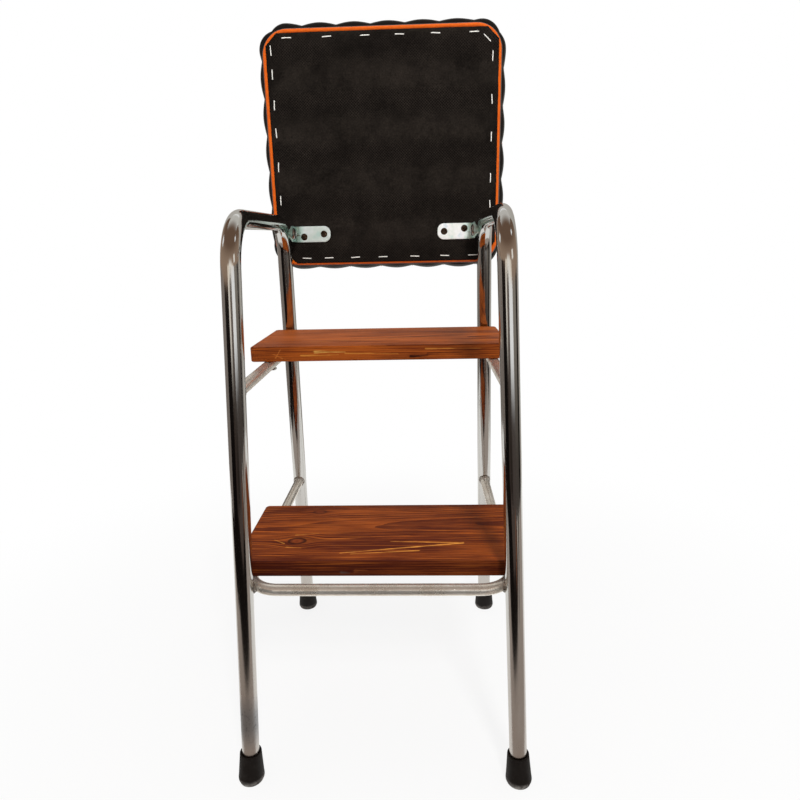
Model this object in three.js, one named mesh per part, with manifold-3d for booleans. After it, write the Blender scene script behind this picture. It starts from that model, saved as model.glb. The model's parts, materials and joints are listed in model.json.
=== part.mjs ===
// A step stool chair: two side frames bent from chromed steel tube, two wooden steps on thinner
// tube supports, and a quilted seat that swings up on brackets at the rear shoulders.
// Millimetres, +Z up. The origin is on the floor in the middle of the four feet, with +X to the
// right and +Y to the rear. The seat stands raised, leaning against the rear legs.
import * as THREE from 'three';
import { mergeVertices } from 'three/addons/utils/BufferGeometryUtils.js';
import Module from 'manifold-3d';

const wasm = await Module();
wasm.setup();

// Side frames, measured on the centreline of the tube
const frameTubeDiameter = 18;
const frameTubeWall = 1.2;
const railHeight = 579;
const shoulderRadius = 42;
const frontFootHalfSpan = 143;
const frontShoulderHalfSpan = 119.1;
const rearFootHalfSpan = 138.3;
const rearShoulderHalfSpan = 124.4;
const footHalfDepth = 161.3;
const frontLean = 16.5;
const rearLean = 64.2;

// Rubber ferrules
const ferruleHeight = 34.5;
const ferruleTopDiameter = 22.6;
const ferruleFootDiameter = 25.7;
const ferruleSole = 5;
const ferruleLip = 1.2;
const ferruleBevel = 1.3;
const ferruleBevelHeight = 3.6;

// Step supports
const supportDiameter = 12;
const supportWall = 1.2;
const crossTubeSetback = 2;
const weldReach = 6.6;
const weldCollar = 2.2;
const weldThrow = 4.2;

// Step boards
const lowerStepHeight = 245.6;
const upperStepHeight = 446.6;
const boardThickness = 16.6;
const lowerBoardLength = 292.8;
const lowerBoardDepth = 136;
const upperBoardLength = 285.4;
const upperBoardDepth = 131.5;
const boardCornerRadius = 5;
const boardEdgeRadius = 1.8;
const boardLegGap = 7;

// Screws from below through the support arms into the boards
const boardScrewInset = 30;
const boardScrewDiameter = 4.2;
const boardScrewHead = 8.6;
const boardScrewHeadHeight = 2.6;
const boardScrewBite = 11;
const boardScrewPoint = 2.5;

// Seat hinge: bolt, washer and threaded insert at each rear shoulder
const hingeTurnShare = 0.552;
const pivotBoltDiameter = 6;
const pivotHeadDiameter = 14;
const pivotHeadHeight = 4;
// The domed head, from its crown down, as shares of its radius and height
const pivotHeadShares = [
  { radius: 0.5, height: 0.9 }, { radius: 0.85, height: 0.6 },
  { radius: 1, height: 0.25 }, { radius: 1, height: 0 },
];
const pivotWasherDiameter = 14;
const pivotWasherThickness = 1;
const insertLength = 12;
const insertDiameter = 9;
const insertFlangeDiameter = 11;
const insertFlangeThickness = 1;

// Hinge brackets
const bracketLength = 45.1;
const bracketWidth = 19.5;
const bracketThickness = 2;
const bracketBendRadius = 3.5;
const bracketTipRadius = 8;
const bracketTipScrewInset = 8.3;
const bracketHeelScrewInset = 11.6;
const bracketScrewStagger = 3.2;
const bracketScrewDiameter = 4;
const bracketScrewHead = 8.2;
const bracketScrewCrown = 0.6;
const bracketScrewLength = 13;
const bracketScrewPoint = 3;
const bracketRibReach = 4.5;
const bracketRibWidth = 4;

// Seat base, dust cover and piping
const baseSideOverhang = 10.8;
const baseSideShift = 2.2;
const baseFrontFlare = 2.5;
const baseDepth = 264;
const baseRearOverhang = 32.4;
const baseThickness = 12;
const baseCornerRadius = 24;
const coverThickness = 0.6;
const coverInset = 1.2;
const coverFrontChamfer = 12;
const coverRearChamfer = 17;
const pipingDiameter = 5;
const seatRestGap = 0.4;
const seatStopGap = 0.4;

// Quilted cushion
const padOverhang = 13.4;
const padForwardShift = 1;
const padCornerRadius = 38;
const padHeight = 40;
const padEdgeRoll = 17;
const padCrown = 6;
const padPuff = 5;
const padLobe = 5;
const quiltHalfColumns = 14;
const quiltHalfRows = 13;
const quiltTwist = 7.6;
// Side rings from the top down: inset as a share of the edge roll, height as a share of the side
const padRingShares = [
  { inset: 0.3, height: 0.84 },
  { inset: 0, height: 0.42 },
  { inset: 0.3, height: 0 },
];

// Clearances
const fitGap = 0.3;
const cutOverrun = 2;

// Facets
const frameTubeSides = 16;
const supportSides = 12;
const screwSides = 10;
const boltSides = 16;
const ferruleSides = 18;
const pipingSides = 8;
const frameBendSteps = 7;
const supportBendSteps = 6;
const cornerSteps = 4;
const weldSides = 10;
const weldRings = 6;
const quiltSplit = 2;

// Materials
const chrome = finish(0xc4c5c3, 1, 0.12);
const satinChrome = finish(0xb9b4aa, 1, 0.3);
const rubber = finish(0x1c1816, 0, 0.75);
const stainedPine = finish(0x8a4422, 0, 0.5);
const zinc = finish(0xc3cfcb, 1, 0.35);
const bronze = finish(0x4b3f36, 1, 0.5);
const steel = finish(0x9a9a98, 1, 0.35);
const plywood = finish(0xc8a878, 0, 0.8);
const blackVinyl = finish(0x151312, 0, 0.32);
const orangeVinyl = finish(0xe8641a, 0, 0.45);
const blackCloth = finish(0x191513, 0, 0.95);

function finish(color, metalness, roughness) {
  return new THREE.MeshStandardMaterial({ color, metalness, roughness });
}

function named(name, geometry, material) {
  const mesh = new THREE.Mesh(geometry, material);
  mesh.name = name;
  return mesh;
}

const vector = (x, y, z) => new THREE.Vector3(x, y, z);
const sides = [{ name: 'left', sign: -1, turn: Math.PI }, { name: 'right', sign: 1, turn: 0 }];

// Solids and booleans

function solidOf(geometry) {
  const bare = new THREE.BufferGeometry();
  bare.setAttribute('position', geometry.attributes.position);
  bare.setIndex(geometry.index);
  const merged = mergeVertices(bare);
  const corners = [];
  for (let i = 0; i < merged.index.count; i += 3) {
    const [a, b, c] = [merged.index.getX(i), merged.index.getX(i + 1), merged.index.getX(i + 2)];
    if (a !== b && b !== c && c !== a) corners.push(a, b, c);
  }
  return new wasm.Manifold(new wasm.Mesh({
    numProp: 3,
    vertProperties: new Float32Array(merged.attributes.position.array),
    triVerts: new Uint32Array(corners),
  }));
}

function geometryOf(solid) {
  const mesh = solid.getMesh();
  const geometry = new THREE.BufferGeometry();
  geometry.setAttribute('position', new THREE.BufferAttribute(mesh.vertProperties, mesh.numProp));
  geometry.setIndex(new THREE.BufferAttribute(mesh.triVerts, 1));
  return geometry;
}

function cut(geometry, cutters) {
  return geometryOf(cutters.reduce((rest, cutter) => rest.subtract(solidOf(cutter)), solidOf(geometry)));
}

function joined(geometry, other) {
  return geometryOf(solidOf(geometry).add(solidOf(other)));
}

function common(geometry, others) {
  return geometryOf(others.reduce((rest, other) => rest.intersect(solidOf(other)), solidOf(geometry)));
}

// Outlines, bends and tubes

function circlePoints(radius, count) {
  const points = [];
  for (let i = 0; i < count; i++) {
    const angle = 2 * Math.PI * i / count;
    points.push(new THREE.Vector2(radius * Math.cos(angle), radius * Math.sin(angle)));
  }
  return points;
}

// The radius of a faceted cutter whose flats clear a round body of the given radius by the fit gap
function clearing(radius, count) {
  return (radius + fitGap) / Math.cos(Math.PI / count);
}

// The round bend that takes the place of a corner between two straight runs
function bendAt(previous, corner, next, radius) {
  const before = corner.clone().sub(previous).normalize();
  const after = next.clone().sub(corner).normalize();
  const turn = before.angleTo(after);
  const axis = before.clone().cross(after).normalize();
  const start = corner.clone().addScaledVector(before, -radius * Math.tan(turn / 2));
  const centre = start.clone().addScaledVector(axis.clone().cross(before), radius);
  return {
    pointAt: (share) => start.clone().sub(centre).applyAxisAngle(axis, turn * share).add(centre),
    tangentAt: (share) => before.clone().applyAxisAngle(axis, turn * share),
  };
}

// A centreline of straight runs and round bends, with stations only where it turns
class BentRoute extends THREE.Curve {
  constructor(corners, radius, stepsPerBend) {
    super();
    const first = corners[0];
    const last = corners[corners.length - 1];
    this.stations = [{ point: first, tangent: corners[1].clone().sub(first).normalize() }];
    for (let i = 1; i < corners.length - 1; i++) {
      const bend = bendAt(corners[i - 1], corners[i], corners[i + 1], radius);
      for (let step = 0; step <= stepsPerBend; step++) {
        const share = step / stepsPerBend;
        this.stations.push({ point: bend.pointAt(share), tangent: bend.tangentAt(share) });
      }
    }
    const end = last.clone().sub(corners[corners.length - 2]).normalize();
    this.stations.push({ point: last, tangent: end });
  }

  stationAt(share) {
    return this.stations[Math.round(share * (this.stations.length - 1))];
  }

  getPointAt(share, target = new THREE.Vector3()) {
    return target.copy(this.stationAt(share).point);
  }

  getTangentAt(share, target = new THREE.Vector3()) {
    return target.copy(this.stationAt(share).tangent);
  }
}

function tubeAlong(route, radius, count, boreRadius = 0) {
  const shape = new THREE.Shape(circlePoints(radius, count));
  if (boreRadius > 0) shape.holes.push(new THREE.Path(circlePoints(boreRadius, count)));
  return new THREE.ExtrudeGeometry(shape, { extrudePath: route, steps: route.stations.length - 1 });
}

function rodBetween(from, to, radius, count) {
  const rod = new THREE.CylinderGeometry(radius, radius, from.distanceTo(to), count);
  const axis = to.clone().sub(from).normalize();
  rod.applyQuaternion(new THREE.Quaternion().setFromUnitVectors(vector(0, 1, 0), axis));
  return rod.translate(...from.clone().lerp(to, 0.5).toArray());
}

// A solid of revolution about +Z from [radius, height] pairs
function turned(profile, count) {
  const points = profile.map(([radius, height]) => new THREE.Vector2(radius, height));
  return geometryOf(solidOf(new THREE.LatheGeometry(points, count).rotateX(Math.PI / 2)));
}

// A closed outline with every corner rounded, as points in the XY plane
function roundedOutline(corners, radius, stepsPerCorner) {
  return corners.flatMap((corner, i) => {
    const previous = corners[(i + corners.length - 1) % corners.length];
    const bend = bendAt(previous, corner, corners[(i + 1) % corners.length], radius);
    const shares = Array.from({ length: stepsPerCorner + 1 }, (_, step) => step / stepsPerCorner);
    return shares.map((share) => bend.pointAt(share));
  });
}

function rectangle(left, right, low, high) {
  return [vector(left, low, 0), vector(right, low, 0), vector(right, high, 0), vector(left, high, 0)];
}

function plate(points, thickness) {
  const shape = new THREE.Shape(points.map((point) => new THREE.Vector2(point.x, point.y)));
  return new THREE.ExtrudeGeometry(shape, { depth: thickness, bevelEnabled: false });
}

// Side frames

const frameTubeRadius = frameTubeDiameter / 2;
const supportRadius = supportDiameter / 2;
const railTop = railHeight + frameTubeRadius;

const legs = {
  front: (sign) => ({
    foot: vector(sign * frontFootHalfSpan, -footHalfDepth, 0),
    top: vector(sign * frontShoulderHalfSpan, frontLean - footHalfDepth, railHeight),
  }),
  rear: (sign) => ({
    foot: vector(sign * rearFootHalfSpan, footHalfDepth, 0),
    top: vector(sign * rearShoulderHalfSpan, footHalfDepth - rearLean, railHeight),
  }),
};

function legPoint(leg, height) {
  return leg.foot.clone().lerp(leg.top, height / railHeight);
}

function tubeEnd(leg) {
  const along = leg.top.clone().sub(leg.foot).normalize();
  return leg.foot.clone().addScaledVector(along, ferruleSole + fitGap);
}

function rearShoulder(sign) {
  const rear = legs.rear(sign);
  return bendAt(legs.front(sign).top, rear.top, rear.foot, shoulderRadius);
}

function sideFrame(sign) {
  const front = legs.front(sign);
  const rear = legs.rear(sign);
  const corners = [tubeEnd(front), front.top, rear.top, tubeEnd(rear)];
  const route = new BentRoute(corners, shoulderRadius, frameBendSteps);
  const tube = tubeAlong(route, frameTubeRadius, frameTubeSides, frameTubeRadius - frameTubeWall);
  const middle = rearShoulder(sign).pointAt(hingeTurnShare);
  const inside = middle.clone().setX(middle.x - sign * (frameTubeRadius + cutOverrun));
  return cut(tube, [rodBetween(inside, middle, clearing(insertDiameter / 2, boltSides), boltSides)]);
}

// The space a leg takes up, with the fit gap round it
function legClearance(leg) {
  return rodBetween(leg.foot, leg.top, clearing(frameTubeRadius, frameTubeSides), frameTubeSides);
}

// Ferrules: turned about the leg's own axis, then cut level by the floor

function ferrule(leg) {
  const footRadius = ferruleFootDiameter / 2;
  const topRadius = ferruleTopDiameter / 2;
  const boreRadius = clearing(frameTubeRadius, ferruleSides);
  const body = turned([
    [0, -footRadius],
    [footRadius - ferruleBevel, -footRadius],
    [footRadius - ferruleBevel, 0],
    [footRadius, ferruleBevelHeight],
    [topRadius, ferruleHeight - ferruleLip],
    [topRadius - ferruleLip, ferruleHeight],
    [boreRadius, ferruleHeight - ferruleLip],
    [boreRadius, ferruleSole],
    [0, ferruleSole],
  ], ferruleSides);
  const axis = leg.top.clone().sub(leg.foot).normalize();
  const turn = new THREE.Quaternion().setFromUnitVectors(vector(0, 0, 1), axis);
  const floorSize = 2 * ferruleFootDiameter;
  const floor = new THREE.BoxGeometry(floorSize, floorSize, floorSize).translate(0, 0, -floorSize / 2);
  return { geometry: cut(body, [floor.applyQuaternion(turn.clone().invert())]), turn };
}

// Step supports: a tube bent to a U. Its corners touch two legs and its arms butt on the other two.

function supportSizes(step) {
  const height = step.height - boardThickness - fitGap - supportRadius;
  const crossLeg = legPoint(legs[step.crossEnd](1), height);
  const armLeg = legPoint(legs[step.armEnd](1), height);
  const outward = Math.sign(crossLeg.y - armLeg.y);
  const spread = crossLeg.x - armLeg.x;
  const reach = frameTubeRadius + supportRadius + fitGap;
  const slope = reach - crossTubeSetback - spread;
  const offset = spread ** 2 + crossTubeSetback ** 2 - reach ** 2;
  const bendRadius = slope + Math.sqrt(slope ** 2 - offset);
  const crossY = crossLeg.y - outward * crossTubeSetback;
  return { height, crossLeg, armLeg, outward, bendRadius, crossY };
}

function supportRoute(step) {
  const { height, armLeg, crossY, bendRadius } = supportSizes(step);
  const corners = [
    vector(-armLeg.x, armLeg.y, height),
    vector(-armLeg.x, crossY, height),
    vector(armLeg.x, crossY, height),
    vector(armLeg.x, armLeg.y, height),
  ];
  return new BentRoute(corners, bendRadius, supportBendSteps);
}

function supportClearance(step) {
  return tubeAlong(supportRoute(step), clearing(supportRadius, supportSides), supportSides);
}

function stepSupport(step) {
  const tube = tubeAlong(supportRoute(step), supportRadius, supportSides, supportRadius - supportWall);
  const ends = sides.map(({ sign }) => legClearance(legs[step.armEnd](sign)));
  return cut(tube, [...ends, ...boardScrewPlaces(step).map(({ place }) => boardScrewHole(place))]);
}

function cornerWeld(step, sign) {
  const { height, crossLeg, armLeg, outward, bendRadius, crossY } = supportSizes(step);
  const leg = vector(crossLeg.x, crossLeg.y, height);
  const bendCentre = vector(armLeg.x - bendRadius, crossY - outward * bendRadius, height);
  const touch = leg.clone().addScaledVector(bendCentre.sub(leg).normalize(), frameTubeRadius);
  const bead = new THREE.SphereGeometry(weldReach, weldSides, weldRings);
  bead.translate(sign * touch.x, touch.y, touch.z);
  return cut(bead, [legClearance(legs[step.crossEnd](sign)), supportClearance(step)]);
}

function buttWeld(step, sign) {
  const { height, armLeg, outward } = supportSizes(step);
  const bead = new THREE.SphereGeometry(1, weldSides, weldRings);
  bead.scale(supportRadius + weldCollar, weldThrow, supportRadius + weldCollar);
  bead.translate(sign * armLeg.x, armLeg.y + outward * frameTubeRadius, height);
  return cut(bead, [legClearance(legs[step.armEnd](sign)), supportClearance(step)]);
}

// Step boards and their screws

const steps = [
  {
    name: 'lower', height: lowerStepHeight, length: lowerBoardLength, depth: lowerBoardDepth,
    crossEnd: 'front', armEnd: 'rear',
  },
  {
    name: 'upper', height: upperStepHeight, length: upperBoardLength, depth: upperBoardDepth,
    crossEnd: 'rear', armEnd: 'front',
  },
];

// The board stands just clear of the legs that its support's cross tube joins
function boardCentre(step) {
  const { crossLeg, outward } = supportSizes(step);
  const face = crossLeg.y - outward * (frameTubeRadius + boardLegGap);
  return vector(0, face - outward * step.depth / 2, step.height - boardThickness);
}

function boardScrewPlaces(step) {
  const { height, armLeg } = supportSizes(step);
  const middle = boardCentre(step).y;
  const offset = step.depth / 2 - boardScrewInset;
  return sides.flatMap(({ name, sign }) => [
    { name: `front_${name}`, place: vector(sign * armLeg.x, middle - offset, height) },
    { name: `rear_${name}`, place: vector(sign * armLeg.x, middle + offset, height) },
  ]);
}

const boardScrewSeat = -supportRadius - fitGap;
const boardScrewTip = supportRadius + fitGap + boardScrewBite;

function boardScrewHole(place) {
  const radius = clearing(boardScrewDiameter / 2, screwSides);
  const from = place.clone().setZ(place.z + boardScrewSeat);
  const to = place.clone().setZ(place.z + boardScrewTip + fitGap);
  return rodBetween(from, to, radius, screwSides);
}

function boardScrew() {
  const headRadius = boardScrewHead / 2;
  const shankRadius = boardScrewDiameter / 2;
  return turned([
    [0, boardScrewSeat - boardScrewHeadHeight],
    [headRadius / 2, boardScrewSeat - boardScrewHeadHeight],
    [headRadius, boardScrewSeat - boardScrewHeadHeight / 2],
    [headRadius, boardScrewSeat],
    [shankRadius, boardScrewSeat],
    [shankRadius, boardScrewTip - boardScrewPoint],
    [0, boardScrewTip],
  ], screwSides);
}

function stepBoard(step) {
  const halfLength = step.length / 2 - boardEdgeRadius;
  const halfDepth = step.depth / 2 - boardEdgeRadius;
  const corners = rectangle(-halfLength, halfLength, -halfDepth, halfDepth);
  const outline = roundedOutline(corners, boardCornerRadius - boardEdgeRadius, cornerSteps);
  const board = new THREE.ExtrudeGeometry(new THREE.Shape(outline), {
    depth: boardThickness - 2 * boardEdgeRadius,
    bevelThickness: boardEdgeRadius,
    bevelSize: boardEdgeRadius,
    bevelSegments: 2,
  });
  const centre = boardCentre(step);
  board.translate(centre.x, centre.y, centre.z + boardEdgeRadius);
  return cut(board, boardScrewPlaces(step).map(({ place }) => boardScrewHole(place)));
}

// Seat hinge. The seat is modelled flat, as sat on, about its hinge line, then swung up.
// The left hinge is the right one turned half round.

const hinge = rearShoulder(1).pointAt(hingeTurnShare);
const insertFace = hinge.x - frameTubeRadius - fitGap;
const insertEnd = insertFace - insertFlangeThickness + insertLength;
const washerFace = insertFace - insertFlangeThickness - fitGap;
const earFace = washerFace - pivotWasherThickness - fitGap;
const boltSeat = earFace - bracketThickness - fitGap;

const undersideHeight = railTop + seatRestGap - hinge.z;
const bracketTop = undersideHeight - fitGap;
const bracketBottom = bracketTop - bracketThickness;
const baseBottom = undersideHeight + coverThickness + fitGap;
const pipingRadius = pipingDiameter / 2;
const pipingOffset = fitGap + pipingRadius;
const pipingHeight = baseBottom + pipingRadius;
const padBottom = pipingHeight + pipingOffset;

function hingeHardware(side) {
  const bore = clearing(pivotBoltDiameter / 2, boltSides);
  const shank = pivotBoltDiameter / 2;
  const head = pivotHeadDiameter / 2;
  const flangeFace = insertFace - insertFlangeThickness;
  const bolt = turned([
    [0, boltSeat - pivotHeadHeight],
    ...pivotHeadShares.map(({ radius, height }) => [head * radius, boltSeat - pivotHeadHeight * height]),
    [shank, boltSeat],
    [shank, insertEnd],
    [0, insertEnd],
  ], boltSides);
  const washer = ring(bore, pivotWasherDiameter / 2, washerFace - pivotWasherThickness, washerFace);
  const insert = turned([
    [bore, flangeFace], [insertFlangeDiameter / 2, flangeFace], [insertFlangeDiameter / 2, insertFace],
    [insertDiameter / 2, insertFace], [insertDiameter / 2, insertEnd], [bore, insertEnd], [bore, flangeFace],
  ], boltSides);
  const hardware = new THREE.Group();
  hardware.add(
    named(`pivot_bolt_${side.name}`, bolt.rotateY(Math.PI / 2), steel),
    named(`pivot_washer_${side.name}`, washer.rotateY(Math.PI / 2), zinc),
    named(`pivot_insert_${side.name}`, insert.rotateY(Math.PI / 2), zinc),
  );
  hardware.rotation.z = side.turn;
  return hardware;
}

function ring(innerRadius, outerRadius, from, to) {
  return turned([
    [innerRadius, from], [outerRadius, from], [outerRadius, to], [innerRadius, to], [innerRadius, from],
  ], boltSides);
}

// Hinge brackets: a strip bent square, its two ends trimmed round

function bracketScrewProfile(gap) {
  const head = bracketScrewHead / 2 + gap;
  const shank = bracketScrewDiameter / 2 + gap;
  return { head, shank, seat: bracketThickness + gap, tip: bracketScrewLength + gap };
}

function bracketScrew() {
  const { head, shank, seat, tip } = bracketScrewProfile(0);
  return turned([
    [0, -bracketScrewCrown], [head / 2, -bracketScrewCrown], [head, 0],
    [shank, seat], [shank, tip - bracketScrewPoint], [0, tip],
  ], screwSides);
}

function bracketScrewHole(place) {
  const { head, shank, seat, tip } = bracketScrewProfile(fitGap);
  const widen = 1 / Math.cos(Math.PI / screwSides);
  const hole = turned([
    [0, -cutOverrun], [head * widen, -cutOverrun], [head * widen, 0],
    [shank * widen, seat], [shank * widen, tip], [0, tip],
  ], screwSides);
  return hole.translate(...place.toArray());
}

const bracketTip = earFace - bracketLength;
const bracketScrewPlaces = [
  { name: 'tip', place: vector(bracketTip + bracketTipScrewInset, 0, bracketBottom) },
  { name: 'heel', place: vector(earFace - bracketHeelScrewInset, -bracketScrewStagger, bracketBottom) },
];

function allBracketScrewHoles() {
  const holes = bracketScrewPlaces.map(({ place }) => bracketScrewHole(place));
  return sides.flatMap((side) => holes.map((hole) => hole.clone().rotateZ(side.turn)));
}

// The rib pressed across the inside of the bend, which stiffens it
function bracketRib() {
  const earInside = earFace - bracketThickness;
  const reach = bracketBendRadius + bracketRibReach - bracketThickness;
  const outline = [
    new THREE.Vector2(earInside - reach, bracketBottom), new THREE.Vector2(earInside, bracketBottom - reach),
    new THREE.Vector2(earFace - bracketThickness / 2, bracketTop - bracketThickness / 2),
  ];
  const rib = new THREE.ExtrudeGeometry(new THREE.Shape(outline), {
    depth: bracketRibWidth, bevelEnabled: false,
  });
  return rib.rotateX(Math.PI / 2).translate(0, bracketRibWidth / 2, 0);
}

function hingeBracket() {
  const halfWidth = bracketWidth / 2;
  const plateMiddle = bracketTop - bracketThickness / 2;
  const earMiddle = earFace - bracketThickness / 2;
  const route = new BentRoute([
    vector(bracketTip, 0, plateMiddle), vector(earMiddle, 0, plateMiddle),
    vector(earMiddle, 0, -halfWidth),
  ], bracketBendRadius, cornerSteps);
  const section = rectangle(-bracketThickness / 2, bracketThickness / 2, -halfWidth, halfWidth);
  const strip = new THREE.ExtrudeGeometry(new THREE.Shape(section), {
    extrudePath: route, steps: route.stations.length - 1,
  });
  const tipOutline = rectangle(bracketTip, earFace + bracketWidth, -halfWidth, halfWidth);
  const fromBelow = plate(roundedOutline(tipOutline, bracketTipRadius, cornerSteps), 2 * undersideHeight);
  fromBelow.translate(0, 0, -undersideHeight);
  const earOutline = rectangle(-halfWidth, halfWidth, -halfWidth, bracketTop + bracketWidth);
  const fromSide = plate(roundedOutline(earOutline, halfWidth, boltSides / 2), earFace + cutOverrun);
  fromSide.rotateX(Math.PI / 2).rotateZ(Math.PI / 2);
  const boreEnds = [vector(boltSeat - cutOverrun, 0, 0), vector(earFace + cutOverrun, 0, 0)];
  const bore = rodBetween(...boreEnds, clearing(pivotBoltDiameter / 2, boltSides), boltSides);
  const holes = bracketScrewPlaces.map(({ place }) => bracketScrewHole(place));
  return cut(joined(common(strip, [fromBelow, fromSide]), bracketRib()), [bore, ...holes]);
}

function bracketAndScrews(side) {
  const group = new THREE.Group();
  group.add(named(`hinge_bracket_${side.name}`, hingeBracket(), zinc));
  for (const { name, place } of bracketScrewPlaces) {
    const screw = named(`bracket_screw_${side.name}_${name}`, bracketScrew(), bronze);
    screw.position.copy(place);
    group.add(screw);
  }
  group.rotation.z = side.turn;
  return group;
}

// Seat base, dust cover and piping

const baseRearHalfWidth = rearShoulderHalfSpan + baseSideOverhang;
const baseFrontHalfWidth = baseRearHalfWidth + baseFrontFlare;
const baseFront = baseRearOverhang - baseDepth;

function baseCorners(outset) {
  const front = baseFrontHalfWidth + outset;
  const rear = baseRearHalfWidth + outset;
  return [
    vector(baseSideShift - front, baseFront - outset, 0),
    vector(baseSideShift + front, baseFront - outset, 0),
    vector(baseSideShift + rear, baseRearOverhang + outset, 0),
    vector(baseSideShift - rear, baseRearOverhang + outset, 0),
  ];
}

function basePlate(outset, thickness) {
  return plate(roundedOutline(baseCorners(outset), baseCornerRadius + outset, cornerSteps), thickness);
}

function seatBase() {
  return cut(basePlate(0, baseThickness).translate(0, 0, baseBottom), allBracketScrewHoles());
}

function dustCover() {
  const corners = baseCorners(-coverInset);
  const outline = corners.flatMap((corner, i) => {
    const previous = corners[(i + corners.length - 1) % corners.length];
    const next = corners[(i + 1) % corners.length];
    const chamfer = corner.y < 0 ? coverFrontChamfer : coverRearChamfer;
    return [previous, next].map((other) => {
      return corner.clone().addScaledVector(other.clone().sub(corner).normalize(), chamfer);
    });
  });
  return cut(plate(outline, coverThickness).translate(0, 0, undersideHeight), allBracketScrewHoles());
}

function piping() {
  const [frontLeft, frontRight, rearRight, rearLeft] = baseCorners(pipingOffset);
  const start = vector(baseSideShift + fitGap / 2, rearRight.y, 0);
  const end = vector(baseSideShift - fitGap / 2, rearRight.y, 0);
  const corners = [start, rearRight, frontRight, frontLeft, rearLeft, end];
  const route = new BentRoute(corners, baseCornerRadius + pipingOffset, cornerSteps);
  return tubeAlong(route, pipingRadius, pipingSides).translate(0, 0, pipingHeight);
}

// Quilted cushion: a diamond lattice drawn onto the rounded outline, its seams ending in the
// notches of the scalloped edge

const padHalfDepth = baseDepth / 2 + padOverhang;
const padMeanHalfWidth = (baseFrontHalfWidth + baseRearHalfWidth) / 2 + padOverhang;
const padTaper = (baseFrontHalfWidth - baseRearHalfWidth) / 2 / padMeanHalfWidth;
const padMiddle = baseRearOverhang - baseDepth / 2 - padForwardShift;

// The four sides of the cushion, from its front left corner round by the front
const padSides = [0, 1, 2, 3].map((number) => {
  const across = number % 2 === 0;
  const reach = (across ? padMeanHalfWidth : padHalfDepth) - padCornerRadius;
  return {
    reach,
    distance: (across ? padHalfDepth : padMeanHalfWidth) - padCornerRadius,
    halfLength: reach + padCornerRadius * Math.PI / 4,
    turn: number * Math.PI / 2,
  };
});

// The side and the place along it, from -1 to 1, of a place on the edge of the square from -1 to 1
function padSidePlace(across, along) {
  if (along === -1) return { number: 0, share: across };
  if (across === 1) return { number: 1, share: along };
  return along === 1 ? { number: 2, share: -across } : { number: 3, share: -along };
}

// The outline point for a place on the edge of the square from -1 to 1, moved out by the outset.
// The quilting is laid on with a slight twist, so the place first slides along the outline.
function padOutlinePoint(across, along, outset) {
  const from = padSidePlace(across, along);
  const { halfLength } = padSides[from.number];
  const past = from.share * halfLength + quiltTwist - halfLength;
  const side = padSides[past > 0 ? (from.number + 1) % padSides.length : from.number];
  const slid = past > 0 ? past - side.halfLength : past + side.halfLength;
  const turn = Math.max(0, Math.abs(slid) - side.reach) / padCornerRadius;
  const radius = padCornerRadius + outset;
  const parallel = Math.sign(slid) * (Math.min(Math.abs(slid), side.reach) + radius * Math.sin(turn));
  const outward = side.distance + radius * Math.cos(turn);
  const point = new THREE.Vector2(parallel, -outward).rotateAround(new THREE.Vector2(), side.turn);
  return point.setX(point.x * (1 - padTaper * point.y / padHalfDepth));
}

// How far the quilting stands out at a lattice place: 0 on the seams, 1 in the middle of a diamond
function quiltBulge(column, row) {
  const seamA = Math.sin(Math.PI * (column + row + 1) / 2);
  const seamB = Math.sin(Math.PI * (column - row + 1) / 2);
  return Math.sqrt(Math.abs(seamA * seamB));
}

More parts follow.
